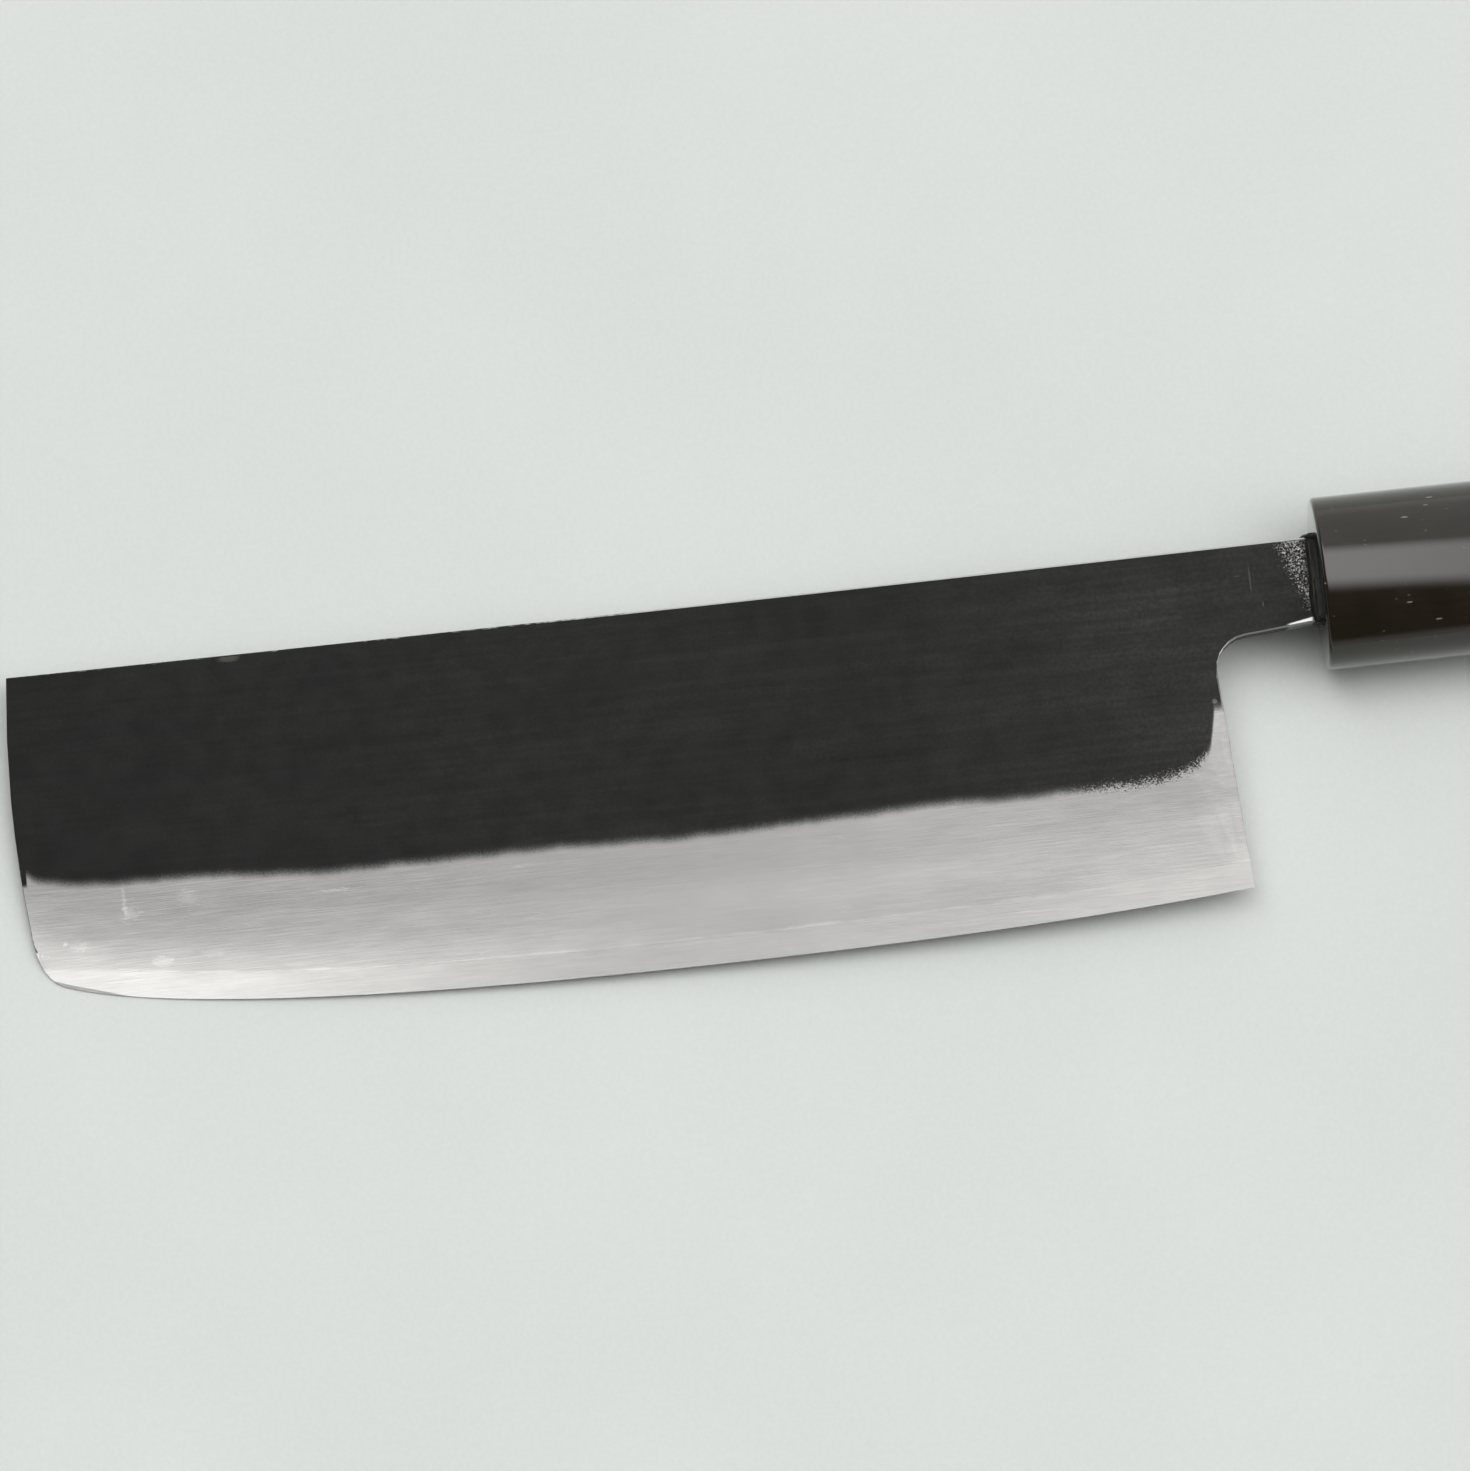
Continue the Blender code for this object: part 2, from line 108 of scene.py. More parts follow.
# %% Place the camera
CAMERA_AIM = (97.1 * MM, -18.3 * MM, 0.0)
CAMERA_DISTANCE = 950 * MM
CAMERA_LEAN = radians(7.5)
CAMERA_ROLL = radians(-6.16)
LENS_LENGTH = 172.5
lens = bpy.data.cameras.new("camera")
lens.sensor_fit = "HORIZONTAL"
lens.sensor_width = 36.0
lens.lens = LENS_LENGTH
lens.clip_end = 20.0
camera = bpy.data.objects.new("camera", lens)
bpy.context.scene.collection.objects.link(camera)
bpy.context.scene.camera = camera
turn = Matrix.Rotation(CAMERA_LEAN, 4, "X") @ Matrix.Rotation(CAMERA_ROLL, 4, "Z")
back_off = Matrix.Translation((0.0, 0.0, CAMERA_DISTANCE))
camera.matrix_world = LIE @ Matrix.Translation(CAMERA_AIM) @ turn @ back_off
print("camera at, m:", [round(value, 3) for value in camera.matrix_world.translation])

# %% [markdown]
# ## Hands
#
# A few helpers do what hands do in Blender's window: pick a piece up, open its mesh, choose some of
# its faces and apply what was added. An operator acts on everything that is selected, so each
# helper starts by letting go of the rest.

# %% Helpers for holding and opening pieces
def hold(piece):
    bpy.ops.object.select_all(action="DESELECT")
    piece.select_set(True)
    bpy.context.view_layer.objects.active = piece


def open_mesh(piece):
    hold(piece)
    bpy.ops.object.mode_set(mode="EDIT")
    bpy.ops.mesh.select_all(action="DESELECT")


def close_mesh():
    bpy.ops.object.mode_set(mode="OBJECT")


def choose(piece, kind, test):
    """Select the vertices, edges or faces that pass the test, and nothing else."""
    bpy.ops.mesh.select_all(action="DESELECT")
    bpy.ops.mesh.select_mode(type=kind)
    mesh = bmesh.from_edit_mesh(piece.data)
    items = {"VERT": mesh.verts, "EDGE": mesh.edges, "FACE": mesh.faces}[kind]
    count = 0
    for item in items:
        if test(item):
            item.select_set(True)
            count += 1
    bmesh.update_edit_mesh(piece.data)
    return count


def finish_modifiers(piece):
    hold(piece)
    for step in list(piece.modifiers):
        bpy.ops.object.modifier_apply(modifier=step.name)


def settle(piece, name):
    """Name a new primitive, and move its place and size into its mesh."""
    piece.name = name
    piece.data.name = name
    hold(piece)
    bpy.ops.object.transform_apply(location=True, rotation=True, scale=True)
    return piece


print("helpers ready")

# %% [markdown]
# ## From the frame to the bench and back
#
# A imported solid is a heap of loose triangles. Before it can be reworked, a copy is turned flat onto
# the bench, merged, freed of slivers and turned back into four-sided faces. A finished piece goes
# the other way. Its place ends up in its mesh and its object at the origin, because patterns are
# measured from there.

# %% Take up a solid, lay down a piece
MERGE_DISTANCE = 0.001 * MM
SLIVER_SIZE = 0.02 * MM


def bench_copy(node, name):
    """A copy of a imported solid, merged and turned flat onto the bench."""
    hold(frame["nodes"][node])
    bpy.ops.object.duplicate()
    piece = bpy.context.object
    piece.name = name
    piece.data.name = name
    piece.parent = None
    del piece["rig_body"]
    del piece["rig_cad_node"]
    piece.data.transform(BENCH)
    hold(piece)
    bpy.ops.mesh.customdata_custom_splitnormals_clear()
    open_mesh(piece)
    bpy.ops.mesh.select_all(action="SELECT")
    bpy.ops.mesh.remove_doubles(threshold=MERGE_DISTANCE)
    bpy.ops.mesh.dissolve_degenerate(threshold=SLIVER_SIZE)
    bpy.ops.mesh.tris_convert_to_quads(face_threshold=radians(1.0), shape_threshold=radians(60.0))
    close_mesh()
    return piece


def lay_down(piece, node, sharp=30.0):
    """Lay a finished piece on the table in the place of its solid, with its place in its mesh."""
    hold(piece)
    piece.matrix_world = LIE @ piece.matrix_world
    bpy.ops.object.transform_apply(location=True, rotation=True, scale=True)
    bpy.ops.object.shade_smooth_by_angle(angle=radians(sharp))
    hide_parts(node)
    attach(piece, "root")
    print(piece.name, "has", len(piece.data.polygons), "faces")


print("solids to work from:", len(frame["nodes"]))

# %% [markdown]
# ## The blade's own measures
#
# Both the meshes and the finishes need to know how high a point stands above the cutting edge. The
# blade's lower outline is convex, so the convex hull of the steel core gives it exactly. In front of
# the nose the edge line runs on at the nose's slope, because the ground strip does that too.

# %% Read the edge line from the steel core
NOSE_END = 4.0 * MM
LIP_HEIGHT = 3.6 * MM
NEAR_EDGE = -40.0 * MM
flat_points = [(BENCH @ point).to_2d() for point in core_points]
hull = [flat_points[i] for i in convex_hull_2d(flat_points)]
outline = sorted((point.x, point.y) for point in hull
                 if point.y < NEAR_EDGE and point.x >= NOSE_END - 0.1 * MM)
edge_x = [x for x, y in outline]
edge_y = [y for x, y in outline]
nose_slope = (edge_y[1] - edge_y[0]) / (edge_x[1] - edge_x[0])


def edge_line(x):
    if x < edge_x[0]:
        return edge_y[0] + nose_slope * (x - edge_x[0])
    return float(np.interp(x, edge_x, edge_y))


def note_edge_height(piece):
    """Store each vertex's height above the edge, in millimetres, for the finish to read."""
    heights = [(vert.co.y - edge_line(vert.co.x)) / MM for vert in piece.data.vertices]
    layer = piece.data.attributes.new("edge_height", "FLOAT", "POINT")
    layer.data.foreach_set("value", heights)


print("the edge bows down to", round(min(edge_y) / MM, 2), "mm")

# %% [markdown]
# ## The line that the wheel left
#
# Below this line the blade is ground bright. The line runs level with the spine, and climbs at the
# tip and again at the heel, which two exponentials describe well. The meshes need it to keep hammer
# marks off the bevel, and the finishes need it to end the black skin.

# %% Describe the grinding line
GRIND_DEPTH = 30.8 * MM
GRIND_TIP_RISE = 4.3 * MM
GRIND_TIP_FADE = 9.0 * MM
GRIND_HEEL_RISE = 9.0 * MM
GRIND_HEEL_FADE = 2.6 * MM
HEEL_X = 162.6 * MM


def grind_line(x):
    tip_rise = GRIND_TIP_RISE * exp(-max(x, 0.0) / GRIND_TIP_FADE)
    heel_rise = GRIND_HEEL_RISE * exp(-max(HEEL_X - x, 0.0) / GRIND_HEEL_FADE)
    return -GRIND_DEPTH + tip_rise + heel_rise


line_heights = [round(grind_line(x) / MM, 1) for x in (0.0, HEEL_X / 2, HEEL_X)]
print("the line at tip, middle and heel, mm:", line_heights)

# %% [markdown]
# ## The iron cheeks
#
# Two soft-iron cheeks wrap the steel core. The forged solids have the right planes already, so a
# copy of each is reworked: its inner face closes up to the core, as a forge weld leaves no seam.
# The narrow chamfers round the outline, which hands and cloth rub, go into a second material slot
# for bare metal. On the ground zone's ends the corners are still sharp, so they are bevelled a
# little. Then every face is split fine enough to carry a slight unevenness, which hammer and scale
# leave on the flats. A cloud texture in a Displace modifier gives that relief, and a vertex group
# keeps it off the ground bevel and the rims.

# %% Rework the cheeks
SEAM_FACE = 0.40 * MM
CORE_FACE = 0.30 * MM
RUBBED_CORNER = 0.10 * MM
RELIEF = 0.04 * MM
RELIEF_SIZE = 14 * MM
RELIEF_FADE = 3.0 * MM
OUTER_SIDE = 0.8 * MM
COLLAR_X = 177.6 * MM
SHARP_CORNER = radians(50.0)
# How far a face has to point along the blade to be one of its ends, and across it to be a chamfer.
END_FACING = 0.6
CHAMFER_FACING = (0.4, 0.9)

hammer_clouds = bpy.data.textures.new("hammer_clouds", "CLOUDS")
hammer_clouds.noise_scale = RELIEF_SIZE
hammer_clouds.noise_depth = 2


def is_sharp_end(edge):
    """A sharp corner between the ground bevel and the wall at the tip or at the heel."""
    if len(edge.link_faces) != 2 or edge.calc_face_angle() < SHARP_CORNER:
        return False
    if min(abs(vert.co.z) for vert in edge.verts) < SEAM_FACE:
        return False
    if max(vert.co.x for vert in edge.verts) > COLLAR_X:
        return False
    return max(abs(face.normal.x) for face in edge.link_faces) > END_FACING


def is_chamfer(face):
    """One of the narrow sloping faces round the outline."""
    steepest, flattest = CHAMFER_FACING
    return steepest < abs(face.normal.z) < flattest and face.calc_center_median().x < COLLAR_X


def rework_cheek(node, name):
    piece = bench_copy(node, name)
    for vert in piece.data.vertices:
        if abs(abs(vert.co.z) - SEAM_FACE) < CLOSE:
            vert.co.z *= CORE_FACE / SEAM_FACE
    piece.data.materials.append(None)
    open_mesh(piece)
    ends = choose(piece, "EDGE", is_sharp_end)
    bpy.ops.mesh.bevel(offset=RUBBED_CORNER, segments=2, affect="EDGES", clamp_overlap=True)
    chamfers = choose(piece, "FACE", is_chamfer)
    piece.active_material_index = 1
    bpy.ops.object.material_slot_assign()
    close_mesh()
    split = piece.modifiers.new("split", "SUBSURF")
    split.subdivision_type = "SIMPLE"
    split.levels = 3
    split.render_levels = 3
    finish_modifiers(piece)
    flats = piece.vertex_groups.new(name="flats")
    for vert in piece.data.vertices:
        below_spine = -vert.co.y
        above_grind = vert.co.y - grind_line(vert.co.x)
        before_collar = COLLAR_X - vert.co.x
        room = min(below_spine, above_grind, before_collar, vert.co.x) / RELIEF_FADE
        outside = abs(vert.co.z) > OUTER_SIDE
        flats.add([vert.index], min(max(room, 0.0), 1.0) * outside, "REPLACE")
    relief = piece.modifiers.new("relief", "DISPLACE")
    relief.texture = hammer_clouds
    relief.texture_coords = "LOCAL"
    relief.vertex_group = "flats"
    relief.strength = RELIEF
    relief.mid_level = 0.5
    finish_modifiers(piece)
    note_edge_height(piece)
    print(name, "has", ends, "sharp ends,", chamfers, "chamfers and", len(piece.data.polygons), "faces")
    return piece


cheeks = [
    rework_cheek("cheek_upper", "iron_cheek_upper"),
    rework_cheek("cheek_lower", "iron_cheek_lower"),
]

# %% [markdown]
# ## The steel core
#
# The hard core shows only along the edge, as a bright strip. On the solid its plate is thinner than
# the bevel just under the iron's lip, so the copy is filled out there: core and cheek then meet in
# one ground surface, as they do on the wheel. Each flat side is first merged to one face and inset
# a few times, which lays rows of vertices parallel to the edge, the fourth of them on the lip. One
# cut at the lip's height carries that row out to the wall at the heel. The rows are then split
# finer, and every vertex up to the lip moves out to the bevel's thickness, less a hair. Those just
# above it move out no further than the lip, so that they are hidden inside the iron.

# %% Rework the core
EDGE_HALF = 0.12 * MM
LIP_HALF = 0.46 * MM
ROWS_TO_LIP = 4
HIDDEN_ROWS = 2
HIDDEN_HEIGHT = 0.3 * MM
HEEL_ZONE = 3.0 * MM
HEEL_RUN = 5.0 * MM
HAIR = 0.006 * MM
FLAT_FACING = 0.9999


def is_flat(face):
    return abs(face.normal.z) > FLAT_FACING


core = bench_copy("core_steel", "steel_core")
open_mesh(core)
choose(core, "FACE", is_flat)
bpy.ops.mesh.dissolve_faces()
face_height = LIP_HEIGHT * (CORE_FACE - EDGE_HALF) / (LIP_HALF - EDGE_HALF)
row = (LIP_HEIGHT - face_height) / ROWS_TO_LIP
for _ in range(ROWS_TO_LIP + HIDDEN_ROWS):
    bpy.ops.mesh.inset(thickness=row, use_even_offset=False)
heel_rise = (edge_line(HEEL_X) - edge_line(HEEL_X - HEEL_RUN)) / HEEL_RUN
choose(core, "FACE", lambda face: is_flat(face) and face.calc_center_median().x > HEEL_X - HEEL_ZONE)
lip_at_heel = (HEEL_X, edge_line(HEEL_X) + LIP_HEIGHT, 0.0)
bpy.ops.mesh.bisect(plane_co=lip_at_heel, plane_no=(-heel_rise, 1.0, 0.0))
choose(core, "FACE", lambda face: is_flat(face) and len(face.verts) == 4)
bpy.ops.mesh.subdivide(number_cuts=3)
close_mesh()
for vert in core.data.vertices:
    height = vert.co.y - edge_line(vert.co.x)
    if abs(abs(vert.co.z) - CORE_FACE) < CLOSE and height < LIP_HEIGHT + HIDDEN_HEIGHT:
        full = EDGE_HALF + (LIP_HALF - EDGE_HALF) * max(height, 0.0) / LIP_HEIGHT
        vert.co.z *= (min(full, LIP_HALF) - HAIR) / CORE_FACE
note_edge_height(core)
print("core:", len(core.data.polygons), "faces")

# %% [markdown]
# ## The collar
#
# The collar is one oval block of polished horn. It starts as a cylinder on its side, squeezed to an
# oval. Its front rim is rounded over, its rear rim only broken, and two Booleans cut the mouth for
# the neck and the blind bore for the dowel.

# %% Turn the collar
HANDLE_Y = -6.3 * MM
COLLAR_HEIGHT = 23.5 * MM
COLLAR_THICKNESS = 18.5 * MM
COLLAR_LENGTH = 28.0 * MM
COLLAR_RIM = 0.6 * MM
COLLAR_WALL = 6.0 * MM
SEAT_RIM = 0.12 * MM
BORE_RADIUS = 7.3 * MM
NECK_HEIGHT = 11.5 * MM
NECK_HALF = 1.7 * MM
MOUTH_MARGIN = 0.6 * MM
MOUTH_CORNER = 1.2 * MM
OVAL_STEPS = 160


def add_oval(name, start, length, height, thickness):
    """A cylinder along the handle's axis, squeezed to an oval."""
    middle = (start + length / 2, HANDLE_Y, 0.0)
    bpy.ops.mesh.primitive_cylinder_add(vertices=OVAL_STEPS, radius=height / 2, depth=length,
                                        location=middle, rotation=(0.0, pi / 2, 0.0))
    piece = settle(bpy.context.object, name)
    for vert in piece.data.vertices:
        vert.co.z *= thickness / height
    return piece


def add_block(name, start, depth, corner):
    """A block as high and as thick as the mouth, with its four long edges rounded."""
    size = (depth, NECK_HEIGHT + 2 * MOUTH_MARGIN, 2 * (NECK_HALF + MOUTH_MARGIN))
    middle = (start + depth / 2, -NECK_HEIGHT / 2, 0.0)
    bpy.ops.mesh.primitive_cube_add(size=1.0, location=middle, scale=size)
    piece = settle(bpy.context.object, name)
    open_mesh(piece)
    choose(piece, "EDGE", lambda edge: abs(edge.verts[0].co.x - edge.verts[1].co.x) > depth / 2)
    bpy.ops.mesh.bevel(offset=corner, segments=6, affect="EDGES")
    close_mesh()
    return piece


def on_plane(edge, x):
    return all(abs(vert.co.x - x) < CLOSE for vert in edge.verts)


def round_rim(piece, x, width, segments):
    choose(piece, "EDGE", lambda edge: on_plane(edge, x))
    bpy.ops.mesh.bevel(offset=width, segments=segments, profile=0.5, affect="EDGES")


def cut_away(piece, cutter):
    step = piece.modifiers.new("cut", "BOOLEAN")
    step.operation = "DIFFERENCE"
    step.solver = "EXACT"
    step.object = cutter
    finish_modifiers(piece)
    bpy.data.objects.remove(cutter, do_unlink=True)


collar = add_oval("horn_collar", COLLAR_X, COLLAR_LENGTH, COLLAR_HEIGHT, COLLAR_THICKNESS)
open_mesh(collar)
round_rim(collar, COLLAR_X, COLLAR_RIM, 8)
round_rim(collar, COLLAR_X + COLLAR_LENGTH, SEAT_RIM, 2)
close_mesh()

cut_away(collar, add_block("mouth", COLLAR_X - COLLAR_WALL, 2 * COLLAR_WALL, MOUTH_CORNER))
bore_size = 2 * BORE_RADIUS
cut_away(collar, add_oval("bore", COLLAR_X + COLLAR_WALL, COLLAR_LENGTH, bore_size, bore_size))
print("collar:", len(collar.data.polygons), "faces")

# %% [markdown]
# ## The grip
#
# The grip carries the collar's oval on and swells a little towards the butt. The same squeezed
# cylinder is cut across into short lengths by bisecting it, and each ring is then scaled by the
# swell. The butt's rim is well rounded, and a blind bore takes the dowel.

# %% Turn the grip
WOOD_FIT = 0.3 * MM
GRIP_LENGTH = 100.0 * MM
GRIP_SWELL = 0.6 * MM
BUTT_RADIUS = 3.0 * MM
GRIP_RINGS = 12
DOWEL_END_X = COLLAR_X + 96.3 * MM
GRIP_X = COLLAR_X + COLLAR_LENGTH + WOOD_FIT

grip = add_oval("wood_grip", GRIP_X, GRIP_LENGTH, COLLAR_HEIGHT, COLLAR_THICKNESS)
open_mesh(grip)
for ring in range(1, GRIP_RINGS):
    place = GRIP_X + GRIP_LENGTH * ring / GRIP_RINGS
    bpy.ops.mesh.select_all(action="SELECT")
    bpy.ops.mesh.bisect(plane_co=(place, 0.0, 0.0), plane_no=(1.0, 0.0, 0.0))
close_mesh()
for vert in grip.data.vertices:
    share = (vert.co.x - GRIP_X) / (GRIP_LENGTH - BUTT_RADIUS)
    swell = GRIP_SWELL * min(share, 1.0) ** 2
    vert.co.y = HANDLE_Y + (vert.co.y - HANDLE_Y) * (1.0 + 2 * swell / COLLAR_HEIGHT)
    vert.co.z *= 1.0 + 2 * swell / COLLAR_THICKNESS
open_mesh(grip)
round_rim(grip, GRIP_X + GRIP_LENGTH, BUTT_RADIUS, 10)
round_rim(grip, GRIP_X, SEAT_RIM, 2)
close_mesh()
bore_length = DOWEL_END_X + WOOD_FIT - GRIP_X + COLLAR_WALL
cut_away(grip, add_oval("bore", GRIP_X - COLLAR_WALL, bore_length, bore_size, bore_size))
print("grip:", len(grip.data.polygons), "faces")

# %% [markdown]
# ## The resin in the mouth
#
# Black resin seals the neck where it enters the collar. It starts as a block that fills the mouth.
# Its front is extruded in short steps, and each step is resized to a profile: it slopes down from
# the collar's face and is thin where it runs out on the iron. A drop has crept up over the spine,
# so a flattened sphere is joined on there by a Boolean. A fine cloud makes it all as uneven as
# resin that was smoothed by hand.

# %% Pour the resin
PLUG_DEPTH = 5.5 * MM
PLUG_CORNER = 1.1 * MM
LUMP_SIZE = 1.1 * MM
LUMP_RELIEF = 0.80 * MM
FRONT_FACING = -0.9
# The bead in front of the collar: how far forward, and how far beyond the neck all round.
BEAD_PROFILE = ((0.10, 0.56), (0.35, 0.50), (0.70, 0.46), (0.95, 0.38), (1.15, 0.24), (1.28, 0.08))
DROP_PLACE = (176.8 * MM, 0.0, 0.2 * MM)
DROP_SIZE = (1.0, 0.55, 1.8)

resin = add_block("neck_resin", COLLAR_X, PLUG_DEPTH, PLUG_CORNER)
open_mesh(resin)
choose(resin, "FACE", lambda face: face.normal.x < FRONT_FACING)
reach = 0.0
margin = MOUTH_MARGIN / MM
for step_reach, step_margin in BEAD_PROFILE:
    forward = {"value": ((reach - step_reach) * MM, 0.0, 0.0)}
    bpy.ops.mesh.extrude_region_move(TRANSFORM_OT_translate=forward)
    height_ratio = (NECK_HEIGHT / MM + 2 * step_margin) / (NECK_HEIGHT / MM + 2 * margin)
    thick_ratio = (NECK_HALF / MM + step_margin) / (NECK_HALF / MM + margin)
    bpy.ops.transform.resize(value=(1.0, height_ratio, thick_ratio))
    reach = step_reach
    margin = step_margin
close_mesh()
bpy.ops.mesh.primitive_uv_sphere_add(segments=32, ring_count=16, radius=1.0 * MM, location=DROP_PLACE,
                                     scale=DROP_SIZE)
drop = settle(bpy.context.object, "drop")
join = resin.modifiers.new("join", "BOOLEAN")
join.operation = "UNION"
join.solver = "EXACT"
join.object = drop
finish_modifiers(resin)
bpy.data.objects.remove(drop, do_unlink=True)
split = resin.modifiers.new("split", "SUBSURF")
split.subdivision_type = "SIMPLE"
split.levels = 2
split.render_levels = 2
resin_clouds = bpy.data.textures.new("resin_clouds", "CLOUDS")
resin_clouds.noise_scale = LUMP_SIZE
uneven = resin.modifiers.new("uneven", "DISPLACE")
uneven.texture = resin_clouds
uneven.texture_coords = "LOCAL"
uneven.strength = LUMP_RELIEF
finish_modifiers(resin)
print("resin:", len(resin.data.polygons), "faces")

# %% [markdown]
# ## Shader tools
#
# All finishes are built from nodes in code. A small class adds nodes and links them, so that a
# finish reads like a recipe. Each method stands for one node, from plain sums to an ease between
# two values, and gives back the socket that carries its result.

# %% A class for node trees
class Recipe:
    """Adds nodes to one tree; a value is a number, a colour or another node's socket."""

    def __init__(self, tree):
        self.tree = tree

    def add(self, kind, **settings):
        """A new node of this kind, with its own settings."""
        made = self.tree.nodes.new("ShaderNode" + kind)
        for name, value in settings.items():
            setattr(made, name, value)
        return made

    def feed(self, socket, value):
        """Set a socket, or link it where the value comes from another node."""
        if isinstance(value, bpy.types.NodeSocket):
            self.tree.links.new(value, socket)
        else:
            socket.default_value = value

    def math(self, operation, first, second=0.0):
        made = self.add("Math", operation=operation)
        self.feed(made.inputs[0], first)
        self.feed(made.inputs[1], second)
        return made.outputs[0]

    def plus(self, first, second):
        return self.math("ADD", first, second)

    def minus(self, first, second):
        return self.math("SUBTRACT", first, second)

    def times(self, first, second):
        return self.math("MULTIPLY", first, second)

    def split(self, vector):
        """The three parts of a vector."""
        made = self.add("SeparateXYZ")
        self.feed(made.inputs[0], vector)
        return made.outputs

    def slope(self, value, low, high, at_low=0.0, at_high=1.0):
        """Eases from at_low to at_high as the value goes from low to high."""
        made = self.add("MapRange", interpolation_type="SMOOTHSTEP")
        for name, given in (("Value", value), ("From Min", low), ("From Max", high),
                            ("To Min", at_low), ("To Max", at_high)):
            self.feed(made.inputs[name], given)
        return made.outputs[0]

    def stretch(self, vector, factors):
        """A place multiplied part by part; a small factor draws a pattern out that way."""
        made = self.add("VectorMath", operation="MULTIPLY")
        self.feed(made.inputs[0], vector)
        self.feed(made.inputs[1], factors)
        return made.outputs[0]

    def noise(self, vector, scale, detail=2.0, roughness=0.5):
        """A soft pattern of values round a half."""
        made = self.add("TexNoise")
        self.feed(made.inputs["Vector"], vector)
        self.feed(made.inputs["Scale"], scale)
        self.feed(made.inputs["Detail"], detail)
        self.feed(made.inputs["Roughness"], roughness)
        return made.outputs["Fac"]

    def blend(self, share, first, second):
        """Mixes two colours; a Mix node keeps its colour sockets at 6 and 7."""
        made = self.add("Mix", data_type="RGBA")
        self.feed(made.inputs[0], share)
        for socket, value in ((made.inputs[6], first), (made.inputs[7], second)):
            self.feed(socket, (*value, 1.0) if isinstance(value, tuple) else value)
        return made.outputs[2]

    def mixed(self, share, first, second):
        """Mixes two numbers."""
        made = self.add("Mix", data_type="FLOAT")
        self.feed(made.inputs[0], share)
        self.feed(made.inputs[2], first)
        self.feed(made.inputs[3], second)
        return made.outputs[0]

    def grey(self, value):
        """A number as a colour."""
        made = self.add("CombineColor")
        for name in ("Red", "Green", "Blue"):
            self.feed(made.inputs[name], value)
        return made.outputs[0]

    def tint(self, colour, value):
        """A colour made lighter or darker by a number."""
        made = self.add("VectorMath", operation="SCALE")
        self.feed(made.inputs[0], colour)
        self.feed(made.inputs["Scale"], value)
        return made.outputs[0]

    def use(self, group, **values):
        """A shared group, with values for its inputs."""
        made = self.add("Group", node_tree=group)
        for name, value in values.items():
            self.feed(made.inputs[name], value)
        return made.outputs[0]


print("recipe class ready")

# %% [markdown]
# ## Starting a group or a material
#
# A group needs its named inputs and its output before nodes can be linked to them, and a material
# starts with its shader. Patterns follow bench millimetres: a Mapping node turns the table's
# coordinates back onto the bench, so that streaks run along the blade however the knife lies.

# %% Helpers for groups and materials
def new_group(name, result, vectors=("Place",), **numbers):
    """An empty node group with vectors and numbers as inputs and one number as its result."""
    tree = bpy.data.node_groups.new(name, "ShaderNodeTree")
    for socket in vectors:
        tree.interface.new_socket(socket, in_out="INPUT", socket_type="NodeSocketVector")
    for socket, value in numbers.items():
        made = tree.interface.new_socket(socket, in_out="INPUT", socket_type="NodeSocketFloat")
        made.default_value = value
    tree.interface.new_socket(result, in_out="OUTPUT", socket_type="NodeSocketFloat")
    recipe = Recipe(tree)
    source = tree.nodes.new("NodeGroupInput")
    sink = tree.nodes.new("NodeGroupOutput")
    return recipe, source.outputs, sink.inputs


def new_finish(name):
    """A material with its shader, and the bench's millimetres to place patterns by."""
    made = bpy.data.materials.new(name)
    made.use_nodes = True
    recipe = Recipe(made.node_tree)
    shader = made.node_tree.nodes["Principled BSDF"]
    place = recipe.add("Mapping")
    recipe.feed(place.inputs["Vector"], recipe.add("TexCoord").outputs["Object"])
    place.inputs["Scale"].default_value = (1 / MM, 1 / MM, 1 / MM)
    place.inputs["Rotation"].default_value = BENCH.to_euler()
    place.inputs["Location"].default_value = BENCH.translation / MM
    return made, recipe, shader, place.outputs[0]


def set_bump(recipe, shader, height, depth):
    """Roughen the surface with a pattern of heights, so many metres deep."""
    bump = recipe.add("Bump")
    bump.inputs["Strength"].default_value = 1.0
    bump.inputs["Distance"].default_value = depth
    recipe.feed(bump.inputs["Height"], height)
    recipe.feed(shader.inputs["Normal"], bump.outputs[0])


def coat_with(piece, finish):
    """Give a piece one finish all over."""
    piece.data.materials.clear()
    piece.data.materials.append(finish)


print("the table's middle on the bench, mm:", [round(value / MM, 1) for value in BENCH.translation])

# %% [markdown]
# ## Shared effects: lines and scratches
#
# Several finishes share the same marks, so each mark is a node group with its sizes as inputs, in
# millimetres. Brushed lines come from a noise that is drawn out along the blade. Scratches are the
# thin places where such a noise crosses its middle value, and a second noise keeps some of them.

# %% Groups for lines and scratches
def drawn_out(recipe, given):
    """The place, scaled so that a noise is drawn out along the blade."""
    size = recipe.add("CombineXYZ")
    for socket, name in zip(size.inputs, ("Length", "Spacing", "Spacing")):
        recipe.feed(socket, recipe.math("DIVIDE", 1.0, given[name]))
    return recipe.stretch(given["Place"], size.outputs[0])


def build_lines():
    recipe, given, result = new_group("brushed_lines", "Lines", Length=12.0, Spacing=0.2)
    fine = recipe.noise(drawn_out(recipe, given), 1.0, 4.0, 0.65)
    recipe.feed(result["Lines"], recipe.slope(fine, 0.25, 0.75))
    return recipe.tree


